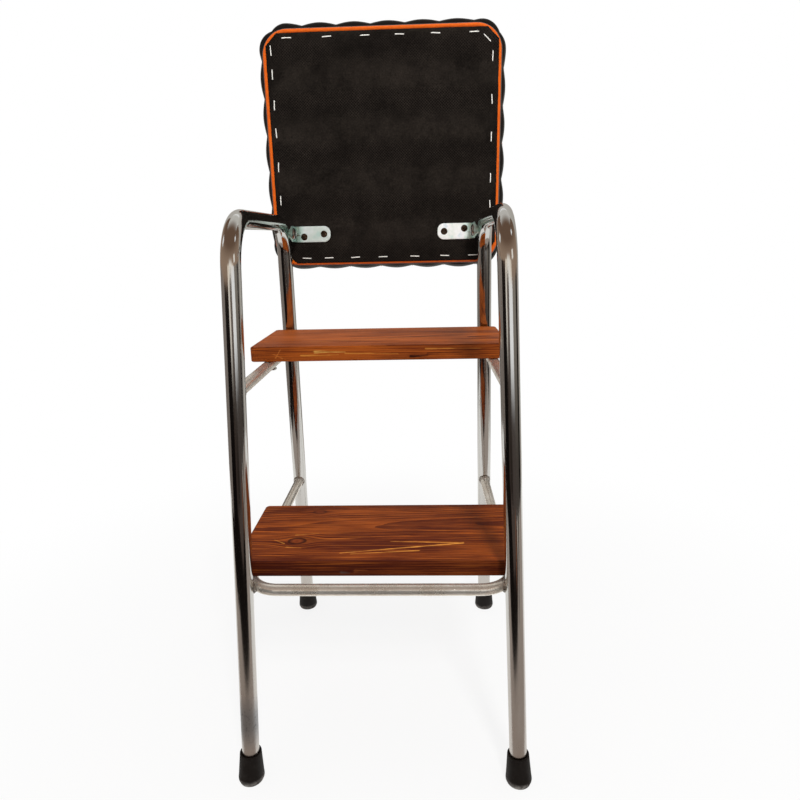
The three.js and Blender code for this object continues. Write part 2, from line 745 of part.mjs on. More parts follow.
function quiltedPad() {
  const columns = quiltHalfColumns * quiltSplit;
  const rows = quiltHalfRows * quiltSplit;
  const positions = [];
  const triangles = [];
  const nodeAt = (i, j) => j * (columns + 1) + i;
  const place = (i, j) => ({ across: 2 * i / columns - 1, along: 2 * j / rows - 1 });
  const bulgeAt = (i, j) => quiltBulge(i / quiltSplit - quiltHalfColumns / 2, j / quiltSplit);
  for (let j = 0; j <= rows; j++) {
    for (let i = 0; i <= columns; i++) {
      const { across, along } = place(i, j);
      const share = Math.max(Math.abs(across), Math.abs(along));
      const outset = (share === 1 ? padLobe * (bulgeAt(i, j) - 1) : 0) - padEdgeRoll;
      const edge = share > 0 ? padOutlinePoint(across / share, along / share, outset) : { x: 0, y: 0 };
      const rise = padCrown * (1 - share ** 4) + padPuff * bulgeAt(i, j) * (1 - share ** 8 / 2);
      positions.push(edge.x * share, edge.y * share, undersideHeight + padHeight + rise);
      if (i === columns || j === rows) continue;
      const corners = [nodeAt(i, j), nodeAt(i + 1, j), nodeAt(i + 1, j + 1), nodeAt(i, j + 1)];
      if ((i + j) % 2 === 1) corners.push(corners.shift());
      triangles.push(corners[0], corners[1], corners[2], corners[0], corners[2], corners[3]);
    }
  }
  const rim = [];
  for (let i = 0; i < columns; i++) rim.push([i, 0]);
  for (let j = 0; j < rows; j++) rim.push([columns, j]);
  for (let i = columns; i > 0; i--) rim.push([i, rows]);
  for (let j = rows; j > 0; j--) rim.push([0, j]);
  let upper = rim.map(([i, j]) => nodeAt(i, j));
  for (const { inset, height } of padRingShares) {
    const z = padBottom + height * (undersideHeight + padHeight - padBottom);
    const lower = rim.map(([i, j]) => {
      const { across, along } = place(i, j);
      const lobe = padLobe * (bulgeAt(i, j) - 1);
      const point = padOutlinePoint(across, along, lobe - inset * padEdgeRoll);
      return positions.push(point.x, point.y, z) / 3 - 1;
    });
    rim.forEach((_, k) => {
      const next = (k + 1) % rim.length;
      triangles.push(lower[k], lower[next], upper[next], lower[k], upper[next], upper[k]);
    });
    upper = lower;
  }
  const centre = positions.push(0, 0, padBottom) / 3 - 1;
  rim.forEach((_, k) => triangles.push(upper[(k + 1) % rim.length], upper[k], centre));
  const pad = new THREE.BufferGeometry();
  pad.setAttribute('position', new THREE.Float32BufferAttribute(positions, 3));
  pad.setIndex(triangles);
  pad.translate(baseSideShift, padMiddle, 0);
  const recess = basePlate(fitGap, baseThickness + 2 * fitGap).translate(0, 0, baseBottom - fitGap);
  return cut(pad, [recess]);
}

// The lean at which the raised seat's piping comes to rest against the rear legs
function seatLean() {
  const rear = legs.rear(1);
  const run = rear.foot.clone().sub(rear.top).setX(0).normalize();
  const legX = legPoint(rear, hinge.z - baseRearOverhang).x;
  const cornerRadius = baseCornerRadius + pipingOffset;
  const sideX = baseRearHalfWidth + Math.abs(baseSideShift);
  const pastCorner = Math.max(0, legX - sideX + baseCornerRadius);
  const roundedOff = cornerRadius - Math.sqrt(cornerRadius ** 2 - pastCorner ** 2);
  const below = baseRearOverhang + pipingOffset - roundedOff;
  const hingeBehindLeg = run.y * (hinge.z - rear.top.z) - run.z * (hinge.y - rear.top.y);
  const reach = frameTubeRadius + pipingRadius + seatStopGap - hingeBehindLeg;
  const level = -pipingHeight * run.z - below * run.y;
  const plumb = pipingHeight * run.y - below * run.z;
  return Math.acos(reach / Math.hypot(level, plumb)) - Math.atan2(plumb, level);
}

// Assembly

function frameAssembly() {
  const frame = new THREE.Group();
  for (const side of sides) {
    frame.add(named(`side_frame_${side.name}`, sideFrame(side.sign), chrome));
    for (const end of ['front', 'rear']) {
      const leg = legs[end](side.sign);
      const { geometry, turn } = ferrule(leg);
      const foot = named(`ferrule_${end}_${side.name}`, geometry, rubber);
      foot.position.copy(leg.foot);
      foot.quaternion.copy(turn);
      frame.add(foot);
    }
    const hardware = hingeHardware(side);
    hardware.position.set(0, hinge.y, hinge.z);
    frame.add(hardware);
  }
  return frame;
}

function stepAssembly(step) {
  const group = new THREE.Group();
  group.add(named(`${step.name}_step_support`, stepSupport(step), satinChrome));
  group.add(named(`${step.name}_step_board`, stepBoard(step), stainedPine));
  for (const side of sides) {
    group.add(named(`${step.name}_corner_weld_${side.name}`, cornerWeld(step, side.sign), satinChrome));
    group.add(named(`${step.name}_butt_weld_${side.name}`, buttWeld(step, side.sign), satinChrome));
  }
  for (const { name, place } of boardScrewPlaces(step)) {
    const screw = named(`${step.name}_board_screw_${name}`, boardScrew(), steel);
    screw.position.copy(place);
    group.add(screw);
  }
  return group;
}

function seatAssembly() {
  const seat = new THREE.Group();
  seat.add(
    named('dust_cover', dustCover(), blackCloth),
    named('seat_base', seatBase(), plywood),
    named('seat_piping', piping(), orangeVinyl),
    named('seat_cushion', quiltedPad(), blackVinyl),
    ...sides.map(bracketAndScrews),
  );
  seat.position.set(0, hinge.y, hinge.z);
  seat.rotation.x = -Math.PI / 2 - seatLean();
  return seat;
}

const stool = new THREE.Group();
stool.add(frameAssembly(), ...steps.map(stepAssembly), seatAssembly());

export default stool;
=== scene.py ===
"""Dressed model of a step stool chair: chromed tube frame, two stained pine steps and a quilted
seat that swings up at the rear shoulders.

Laid out as a Blender add-on. One operator makes each group of pieces, and main() calls them in
order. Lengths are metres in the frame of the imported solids: X right, Y rear, Z up.
"""
import json
import math

import bmesh
import bpy
from mathutils import Matrix, Vector, noise


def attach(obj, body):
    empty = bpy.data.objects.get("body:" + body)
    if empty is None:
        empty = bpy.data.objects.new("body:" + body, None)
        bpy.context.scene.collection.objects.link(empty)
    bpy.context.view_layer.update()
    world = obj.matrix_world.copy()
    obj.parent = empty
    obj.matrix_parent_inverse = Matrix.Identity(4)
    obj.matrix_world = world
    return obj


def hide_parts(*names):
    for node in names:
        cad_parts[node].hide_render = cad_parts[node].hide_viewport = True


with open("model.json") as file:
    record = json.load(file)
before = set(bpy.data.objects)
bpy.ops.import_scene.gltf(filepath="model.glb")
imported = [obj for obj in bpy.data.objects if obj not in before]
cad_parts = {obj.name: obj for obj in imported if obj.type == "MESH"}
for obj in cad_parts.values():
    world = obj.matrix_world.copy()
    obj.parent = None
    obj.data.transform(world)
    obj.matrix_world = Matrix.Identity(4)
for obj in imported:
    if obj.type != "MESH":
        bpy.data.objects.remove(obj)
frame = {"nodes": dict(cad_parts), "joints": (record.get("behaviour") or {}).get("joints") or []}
hinge = next(joint for joint in frame["joints"] if joint["name"] == "seat_fold")

bl_info = {
    "name": "Step Stool Chair",
    "version": (1, 0, 0),
    "blender": (4, 5, 0),
    "location": "3D View > Sidebar > Stool",
    "description": "Makes a chromed step stool chair with pine steps and a quilted flip-up seat",
    "category": "Object",
}

SIDES = {"left": -1, "right": 1}

# Centrelines of the side frames, as |x|, y at the floor and at the height of the rails
FOOT = {"front": (0.143, -0.1613), "rear": (0.1383, 0.1613)}
TOP = {"front": (0.1191, -0.1448), "rear": (0.1244, 0.0971)}
RAIL_HEIGHT = 0.579
TUBE_END = 0.0053

# Steps: which legs the support's cross tube joins, and which its arms butt on
STEPS = {
    "lower": {"top": 0.2456, "length": 0.2928, "depth": 0.136, "cross": "front", "arms": "rear"},
    "upper": {"top": 0.4466, "length": 0.2854, "depth": 0.1315, "cross": "rear", "arms": "front"},
}
BOARD_THICKNESS = 0.0166
BOARD_LEG_GAP = 0.007
SCREW_INSET = 0.03
GAP = 0.0003
CROSS_SETBACK = 0.002

# Seat heights in its own frame, flat as sat on, above the hinge line
UNDERSIDE = 0.0223125
COVER_THICKNESS = 0.0006
BASE_BOTTOM = UNDERSIDE + COVER_THICKNESS + GAP
PAD_TOP = UNDERSIDE + 0.04
BASE_TOP = BASE_BOTTOM + 0.012
BASE_SHIFT = 0.0022
BASE_FRONT_HALF = 0.1377
BASE_REAR_HALF = 0.1352
BASE_FRONT = -0.2316
BASE_REAR = 0.0324
BASE_CORNER = 0.024

# Quilting: half diamonds across and along, and mesh cells in each
QUILT_COLUMNS = 14
QUILT_ROWS = 13
QUILT_SPLIT = 8

# Bracket, as distances along the flat strip from the hinge's middle plane
BRACKET_TIP = 0.0675
BRACKET_BEND = 0.1081
BRACKET_MIDDLE = 0.0210125
BRACKET_HALF_WIDTH = 0.00975
BRACKET_SCREWS = ((0.0758, 0.0), (0.101, -0.0032))

SEAT_PLACE = Matrix.Translation(hinge["pos_m"]) @ Matrix.Rotation(-math.radians(hinge["range_deg"][1]), 4, "X")


def linear(colour):
    """Linear RGBA of an sRGB hex colour."""
    shares = [int(colour[i:i + 2], 16) / 255 for i in (1, 3, 5)]
    return [*(s / 12.92 if s <= 0.04045 else ((s + 0.055) / 1.055) ** 2.4 for s in shares), 1.0]


def length_setting(name, description, default):
    return bpy.props.FloatProperty(
        name=name, description=description, default=default, min=0.0001, unit="LENGTH", precision=4)


def colour_setting(name, description, default):
    return bpy.props.FloatVectorProperty(
        name=name, description=description, default=linear(default), size=4, subtype="COLOR", min=0, max=1)


class FrameSettings(bpy.types.PropertyGroup):
    tube_diameter: length_setting("Tube diameter", "Outside diameter of the side frames", 0.018)
    shoulder_radius: length_setting("Shoulder radius", "Bend radius of the side frames", 0.042)
    support_diameter: length_setting("Support diameter", "Outside diameter of the step supports", 0.012)
    chrome: colour_setting("Chrome", "Colour of the plated tube", "#d3d3d1")
    rubber: colour_setting("Rubber", "Colour of the ferrules", "#15110f")


class StepSettings(bpy.types.PropertyGroup):
    corner_radius: length_setting("Corner radius", "Rounding of a board's upright corners", 0.005)
    edge_radius: length_setting("Edge radius", "Rounding of a board's top and bottom edges", 0.0018)
    pale: colour_setting("Pale stain", "Stain over the soft early wood", "#b65a1c")
    dark: colour_setting("Dark stain", "Stain over the hard late wood", "#541d0a")


class SeatSettings(bpy.types.PropertyGroup):
    piping_diameter: length_setting("Piping diameter", "Diameter of the contrast cord", 0.0051)
    welt_diameter: length_setting("Welt diameter", "Diameter of the rolled edge beside the cord", 0.0016)
    stitch_pitch: length_setting("Stitch pitch", "Distance from one stitch to the next", 0.0052)
    staple_length: length_setting("Staple length", "Crown of a staple", 0.0115)
    vinyl: colour_setting("Cushion vinyl", "Colour of the embossed vinyl", "#161413")
    contrast: colour_setting("Contrast", "Colour of the cord and the stitching", "#df6213")
    cloth: colour_setting("Dust cover", "Colour of the spunbond cloth", "#0f0c0a")


class StageSettings(bpy.types.PropertyGroup):
    lens: bpy.props.FloatProperty(
        name="Lens", description="Focal length of the camera", default=27.81, min=1, unit="CAMERA")
    floor: colour_setting("Floor", "Colour of the floor", "#eeedeb")
    key_power: bpy.props.FloatProperty(
        name="Key power", description="Power of the key lamp", default=9, min=0, unit="POWER")


# Shared helpers

def node(tree, kind, *values, stops=(), **named):
    """Adds a node, a shader node where its kind doesn't say another family. The values go to its inputs
    in order. What is named in lower case is a setting, and the rest goes to the input of that name.
    Nodes and sockets are linked, and other values are set."""
    made = tree.nodes.new(kind if "Node" in kind else f"ShaderNode{kind}")
    for name in filter(str.islower, named):
        setattr(made, name, named[name])
    given = list(zip(made.inputs, values))
    for name, value in named.items():
        if not name.islower():
            label = name.replace("_", " ")
            given.append((next(s for s in made.inputs if s.enabled and s.name == label), value))
    for socket, value in given:
        if isinstance(value, bpy.types.Node):
            value = next(s for s in value.outputs if s.enabled)
        if isinstance(value, bpy.types.NodeSocket):
            tree.links.new(value, socket)
        else:
            socket.default_value = linear(value) if isinstance(value, str) and value[0] == "#" else value
    for i, (place, colour) in enumerate(stops):
        elements = made.color_ramp.elements
        element = elements[-1 if i else 0] if i in (0, len(stops) - 1) else elements.new(place)
        element.position = place
        element.color = linear(colour)
    return made


def blank_tree(owner):
    """The emptied node tree of a material or a world."""
    owner.use_nodes = True
    owner.node_tree.nodes.clear()
    return owner.node_tree


def coat(name, finish):
    """The material of that name, whose shader's inputs come from finish(tree, place)."""
    made = bpy.data.materials.get(name)
    if made:
        return made
    made = bpy.data.materials.new(name)
    tree = blank_tree(made)
    place = node(tree, "TexCoord").outputs["Object"]
    shader = node(tree, "BsdfPrincipled", **finish(tree, place))
    node(tree, "OutputMaterial", Surface=shader)
    return made


def settings():
    """The add-on's settings, in their groups."""
    return bpy.context.scene.stool


def linked(name, mesh):
    made = bpy.data.objects.new(name, mesh)
    bpy.context.scene.collection.objects.link(made)
    return made


def evaluated(obj, *helpers):
    """The plain mesh that an object's modifiers give it. The object and its helpers are deleted."""
    bpy.context.view_layer.update()
    mesh = bpy.data.meshes.new_from_object(obj.evaluated_get(bpy.context.evaluated_depsgraph_get()))
    obj.modifiers.clear()
    for done in (obj, *helpers):
        bpy.data.objects.remove(done)
    return mesh


def mesh_of(shape):
    mesh = bpy.data.meshes.new("shape")
    shape.to_mesh(mesh)
    shape.free()
    return mesh


def piece(name, mesh, body, slot, material, *nodes):
    """A finished piece that rides on a body and stands for the named solids."""
    mesh.materials.clear()
    mesh.materials.append(material)
    mesh.name = name
    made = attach(linked(name, mesh), body)
    if nodes:
        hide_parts(*nodes)
    return made


def carved(mesh, cutters):
    """The mesh with the cutters taken out of it."""
    body = linked("carved", mesh)
    tools = [linked("cutter", cutter) for cutter in cutters]
    for tool in tools:
        cut = body.modifiers.new("cut", "BOOLEAN")
        cut.operation = "DIFFERENCE"
        cut.solver = "EXACT"
        cut.object = tool
    return evaluated(body, *tools)


def skin(shape, rows, closed=True, smooth=False):
    """Adds the faces between rows of points, each row on the next."""
    for low, high in zip(rows, rows[1:]):
        for i in range(len(low) - (not closed)):
            j = (i + 1) % len(low)
            shape.faces.new((low[i], low[j], high[j], high[i])).smooth = smooth


def capped(shape, rows):
    """Closes both ends of a skin with one face each."""
    shape.faces.new(rows[0])
    shape.faces.new(rows[-1][::-1])


def smoothed(mesh, degrees):
    """Smooth shading, with a hard edge where faces meet at more than that angle."""
    mesh.shade_smooth()
    mesh.set_sharp_from_angle(angle=math.radians(degrees))
    return mesh


def turned(profile, sides):
    """A mesh of revolution about Z from (radius, height) pairs, from one end to the other."""
    shape = bmesh.new()
    rows = []
    for radius, height in profile:
        count = sides if radius > 0 else 1
        angles = [2 * math.pi * i / count for i in range(count)]
        rows.append([shape.verts.new((radius * math.cos(a), radius * math.sin(a), height)) for a in angles])
    for low, high in zip(rows, rows[1:]):
        for i in range(sides):
            j = (i + 1) % sides
            corners = (low[i % len(low)], low[j % len(low)], high[j % len(high)], high[i % len(high)])
            corners = list(dict.fromkeys(corners))
            if len(corners) > 2:
                shape.faces.new(corners)
    bmesh.ops.recalc_face_normals(shape, faces=shape.faces)
    return mesh_of(shape)


def arc(centre, radius, start, end, steps):
    """(x, y) points of an arc, its angles in degrees."""
    angles = [math.radians(start + (end - start) * i / steps) for i in range(steps + 1)]
    return [(centre[0] + radius * math.cos(a), centre[1] + radius * math.sin(a)) for a in angles]


def rounded_rectangle(low, high, radii, steps=8):
    """Outline from the corner (low) to (high), with one radius for each corner from low round."""
    (x0, y0), (x1, y1) = low, high
    centres = ((x0, y0, 180), (x1, y0, 270), (x1, y1, 0), (x0, y1, 90))
    points = []
    for (x, y, start), radius in zip(centres, radii):
        inner = (x + radius if x == x0 else x - radius, y + radius if y == y0 else y - radius)
        points += arc(inner, radius, start, start + 90, steps)
    return [p for p, before in zip(points, points[-1:] + points) if math.dist(p, before) > 1e-6]


def slab(outline, low, high, edge, steps=4):
    """A plate over an outline that runs anticlockwise, its top and bottom edges rolled."""
    shape = bmesh.new()
    count = len(outline)
    points = [Vector(point) for point in outline]
    inward = []
    for i, point in enumerate(points):
        along = (points[(i + 1) % count] - points[i - 1]).normalized()
        inward.append(Vector((-along.y, along.x)))
    rings = []
    for i in range(2 * steps + 2):
        step = i if i <= steps else i - 1
        angle = math.pi / 2 * (step / steps - 1)
        height = low + edge * (1 + math.sin(angle)) if i <= steps else high - edge * (1 - math.sin(angle))
        inset = edge * (1 - math.cos(angle))
        rings.append([shape.verts.new((*(p + n * inset), height)) for p, n in zip(points, inward)])
    skin(shape, rings, smooth=True)
    shape.faces.new(rings[0][::-1])
    shape.faces.new(rings[-1])
    return mesh_of(shape)


def polyline(points, closed=False):
    """A mesh of edges along the points."""
    mesh = bpy.data.meshes.new("line")
    edges = [(i, i + 1) for i in range(len(points) - 1)]
    if closed:
        edges.append((len(points) - 1, 0))
    mesh.from_pydata([tuple(point) for point in points], edges, [])
    return mesh


def spots(points, turns):
    """A mesh of loose points, each with its turn as Euler angles."""
    mesh = bpy.data.meshes.new("spots")
    mesh.from_pydata([tuple(point) for point in points], [], [])
    attribute = mesh.attributes.new("turn", "FLOAT_VECTOR", "POINT")
    attribute.data.foreach_set("vector", [angle for turn in turns for angle in turn])
    return mesh


# Geometry trees

def geometry_tree(name, **sockets):
    """A new geometry tree with those inputs after its geometry, and the outputs of its input node."""
    tree = bpy.data.node_groups.new(name, "GeometryNodeTree")
    tree.interface.new_socket("Geometry", in_out="OUTPUT", socket_type="NodeSocketGeometry")
    tree.interface.new_socket("Geometry", in_out="INPUT", socket_type="NodeSocketGeometry")
    for label, kind in {**sockets, "Material": "Material"}.items():
        tree.interface.new_socket(label.replace("_", " "), in_out="INPUT", socket_type=f"NodeSocket{kind}")
    return tree, node(tree, "NodeGroupInput").outputs


def end_tree(tree, geometry, given):
    """Realises what the tree has made and gives it the material."""
    smooth = node(tree, "GeometryNodeSetShadeSmooth", geometry)
    real = node(tree, "GeometryNodeRealizeInstances", smooth)
    dressed = node(tree, "GeometryNodeSetMaterial", Geometry=real, Material=given["Material"])
    node(tree, "NodeGroupOutput", dressed)
    return tree


def bent_tube_tree():
    """Tube along a line of corners, each corner bent to the radius."""
    tree, given = geometry_tree(
        "bent_tube", Bend_Radius="Float", Bend_Steps="Int", Tube_Radius="Float", Sides="Int")
    line = node(tree, "GeometryNodeMeshToCurve", Mesh=given["Geometry"])
    bent = node(tree, "GeometryNodeFilletCurve", Curve=line, Radius=given["Bend Radius"],
        Count=given["Bend Steps"], mode="POLY")
    section = node(tree, "GeometryNodeCurvePrimitiveCircle", Resolution=given["Sides"],
        Radius=given["Tube Radius"])
    tube = node(tree, "GeometryNodeCurveToMesh", Curve=bent, Profile_Curve=section, Fill_Caps=True)
    return end_tree(tree, tube, given)


def copies_tree():
    """A copy of an object on each point, turned by the point's attribute."""
    tree, given = geometry_tree("copies_on_points", Copy="Object")
    copy = node(tree, "GeometryNodeObjectInfo", Object=given["Copy"]).outputs["Geometry"]
    turn = node(tree, "GeometryNodeInputNamedAttribute", Name="turn", data_type="FLOAT_VECTOR")
    rotation = node(tree, "FunctionNodeEulerToRotation", turn)
    placed = node(tree, "GeometryNodeInstanceOnPoints", Points=given["Geometry"], Instance=copy,
        Rotation=rotation)
    return end_tree(tree, placed, given)


def stitches_tree():
    """A copy of one stitch at each pitch along the seams, in line with the seam."""
    tree, given = geometry_tree("stitches_on_seams", Copy="Object", Pitch="Float")
    line = node(tree, "GeometryNodeMeshToCurve", Mesh=given["Geometry"])
    points = node(tree, "GeometryNodeCurveToPoints", Curve=line, Length=given["Pitch"], mode="LENGTH")
    copy = node(tree, "GeometryNodeObjectInfo", Object=given["Copy"]).outputs["Geometry"]
    placed = node(tree, "GeometryNodeInstanceOnPoints", Points=points, Instance=copy,
        Rotation=points.outputs["Rotation"])
    return end_tree(tree, placed, given)


def grown(seed, make_tree, values, *helpers):
    """The plain mesh that a geometry tree makes of a seed mesh."""
    tree = make_tree()
    body = linked("grown", seed)
    modifier = body.modifiers.new("grow", "NODES")
    modifier.node_group = tree
    for item in tree.interface.items_tree:
        if item.in_out == "INPUT" and item.name in values:
            modifier[item.identifier] = values[item.name]
    mesh = evaluated(body, *helpers)
    bpy.data.node_groups.remove(tree)
    return mesh


def tube(corners, bend, radius, material, sides=40, steps=20, closed=False):
    """A round tube along corners that are bent to one radius."""
    values = {"Bend Radius": bend, "Bend Steps": steps, "Tube Radius": radius, "Sides": sides}
    return grown(polyline(corners, closed), bent_tube_tree, {**values, "Material": material})


def copies(copy, points, turns, material):
    """One mesh of copies, each at a point with its turn."""
    helper = linked("copy", copy)
    return grown(spots(points, turns), copies_tree, {"Copy": helper, "Material": material}, helper)


# Places on the frame and the seat

def leg_point(end, sign, height):
    """A point of a leg's centreline."""
    foot = Vector((sign * FOOT[end][0], FOOT[end][1], 0))
    top = Vector((sign * TOP[end][0], TOP[end][1], RAIL_HEIGHT))
    return foot.lerp(top, height / RAIL_HEIGHT)


def leg_axis(end, sign):
    """Direction of a leg, up from the floor."""
    return (leg_point(end, sign, RAIL_HEIGHT) - leg_point(end, sign, 0)).normalized()


def support_sizes(step):
    """Height, legs, bend radius and cross tube of a support whose corners touch two legs."""
    made = settings().frame
    radius = made.support_diameter / 2
    height = step["top"] - BOARD_THICKNESS - GAP - radius
    cross = leg_point(step["cross"], 1, height)
    arm = leg_point(step["arms"], 1, height)
    outward = math.copysign(1, cross.y - arm.y)
    spread = cross.x - arm.x
    reach = made.tube_diameter / 2 + radius + GAP
    slope = reach - CROSS_SETBACK - spread
    bend = slope + math.sqrt(slope ** 2 - (spread ** 2 + CROSS_SETBACK ** 2 - reach ** 2))
    return {
        "height": height, "cross": cross, "arm": arm, "outward": outward, "bend": bend,
        "cross_y": cross.y - outward * CROSS_SETBACK, "radius": radius,
    }


def board_middle(step):
    """Y of a board's middle, its edge set back from the legs of the cross tube."""
    sizes = support_sizes(step)
    face = sizes["cross"].y - sizes["outward"] * (settings().frame.tube_diameter / 2 + BOARD_LEG_GAP)
    return face - sizes["outward"] * step["depth"] / 2


def base_corners(outset, height):
    """Corners of the seat base's outline moved out by the outset, in the seat's own frame."""
    places = []
    for sign, half, y in ((-1, BASE_FRONT_HALF, BASE_FRONT - outset), (1, BASE_FRONT_HALF, BASE_FRONT - outset),
                          (1, BASE_REAR_HALF, BASE_REAR + outset), (-1, BASE_REAR_HALF, BASE_REAR + outset)):
        places.append(Vector((BASE_SHIFT + sign * (half + outset), y, height)))
    return places


def base_half_width(y):
    """Half the seat base's width at a depth: it narrows towards the rear."""
    share = (y - BASE_FRONT) / (BASE_REAR - BASE_FRONT)
    return BASE_FRONT_HALF + (BASE_REAR_HALF - BASE_FRONT_HALF) * share


def on_seat(mesh):
    """Moves a mesh from the seat's own frame to its raised place."""
    mesh.transform(SEAT_PLACE)
    return mesh


# Finishes

def stretched_noise(tree, place, scale, detail, breakup=0.5):
    """Noise with its own scale along each axis."""
    scaled = node(tree, "Mapping", Vector=place, Scale=scale)
    return node(tree, "TexNoise", Vector=scaled, Scale=1, Detail=detail, Roughness=breakup)


def chrome_plate(tree, place):
    """Chrome-plated steel, buffed bright: a mirror with faint smears, which near the floor carry a painted
    beige reflection of the floor, with one scuffed, pitted patch low on the front left leg."""
    height = node(tree, "SeparateXYZ", place).outputs["Z"]
    low = node(tree, "MapRange", height, 0.3, 0.04, interpolation_type="SMOOTHSTEP")
    patch_place = node(tree, "Mapping", Vector=place, Location=(4.7, 5.3, -2.4), Scale=(33, 33, 32))
    patch_distance = node(tree, "VectorMath", patch_place, operation="LENGTH").outputs["Value"]
    patch = node(tree, "MapRange", patch_distance, 1.1, 0.4)
    pits = node(tree, "TexNoise", Vector=place, Scale=420, Detail=4, Roughness=0.7)
    pitted = node(tree, "MapRange", pits, 0.54, 0.66, 0, 0.7)
    worn_through = node(tree, "Math", patch, pitted, operation="MULTIPLY")
    smears = stretched_noise(tree, place, (60, 60, 9), 5, 0.6)
    # Smears, and near the floor a painted reflection: there the chrome's colour is mixed towards the beige of
    # the floor
    dull = node(tree, "Math", low, smears, operation="MULTIPLY")
    colour = node(tree, "Mix", Factor=dull, A=settings().frame.chrome, B="#b5aaa2", data_type="RGBA")
    rubbed = node(tree, "Math", patch, 0.75, operation="MULTIPLY")
    rubbed = node(tree, "Mix", Factor=rubbed, A=colour, B="#a3a8ad", data_type="RGBA")
    worn = node(tree, "Mix", Factor=worn_through, A=rubbed, B="#5c6165", data_type="RGBA")
    haze = node(tree, "MapRange", dull, 0, 0.6, 0.1, 0.3)
    rough = node(tree, "Math", patch, 0.25, haze, operation="MULTIPLY_ADD")
    ripple = node(tree, "Bump", Height=smears, Strength=0.05, Distance=0.001)
    return {"Base Color": worn, "Metallic": 1, "Roughness": rough, "Normal": ripple}


def satin_chrome(tree, place):
    """Chrome over unbuffed drawn tube: a soft satin sheen with fine die lines and brown handling marks."""
    marks = node(tree, "TexNoise", Vector=place, Scale=55, Detail=5, Roughness=0.65)
    colour = node(tree, "ValToRGB", Fac=marks, stops=((0.35, "#ddd4c7"), (0.62, "#f6f1e8")))
    rough = node(tree, "MapRange", marks, 0.3, 0.7, 0.3, 0.21)
    grit = node(tree, "TexNoise", Vector=place, Scale=900, Detail=2)
    bump = node(tree, "Bump", Height=grit, Strength=0.12, Distance=0.0004)
    return {"Base Color": colour, "Metallic": 0.8, "Roughness": rough, "Normal": bump}


def plated_weld(tree, place):
    """Weld bead under plating: bright and lumpy, with painted shade in the hollows between the ripples."""
    lumps = node(tree, "TexNoise", Vector=place, Scale=700, Detail=3, Roughness=0.6)
    # Painted shade: the colour darkens where the lumps are low
    colour = node(tree, "ValToRGB", Fac=lumps, stops=((0.34, "#6f6861"), (0.55, "#d8d6d2")))
    bump = node(tree, "Bump", Height=lumps, Strength=0.8, Distance=0.0009)
    return {"Base Color": colour, "Metallic": 1, "Roughness": 0.24, "Normal": bump}


def moulded_rubber(tree, place):
    """Moulded rubber: near black and matt, dusty in its pores, its foot scuffed grey by the floor."""
    pores = node(tree, "TexNoise", Vector=place, Scale=650, Detail=4, Roughness=0.7)
    dust = node(tree, "TexNoise", Vector=place, Scale=90, Detail=5, Roughness=0.7)
    height = node(tree, "SeparateXYZ", place).outputs["Z"]
    foot = node(tree, "MapRange", height, 0.0072, 0.0022)
    worn = node(tree, "MapRange", dust, 0.36, 0.62)
    scuff = node(tree, "Math", foot, worn, operation="MULTIPLY")
    dusty = node(tree, "MapRange", dust, 0.5, 0.8, 0, 0.14)
    shade = node(tree, "Mix", Factor=dusty, A=settings().frame.rubber, B="#4a4643", data_type="RGBA")
    colour = node(tree, "Mix", Factor=scuff, A=shade, B="#8b8782", data_type="RGBA")
    bump = node(tree, "Bump", Height=pores, Strength=0.35, Distance=0.0005)
    return {"Base Color": colour, "Roughness": 0.62, "Specular IOR Level": 0.2, "Normal": bump}


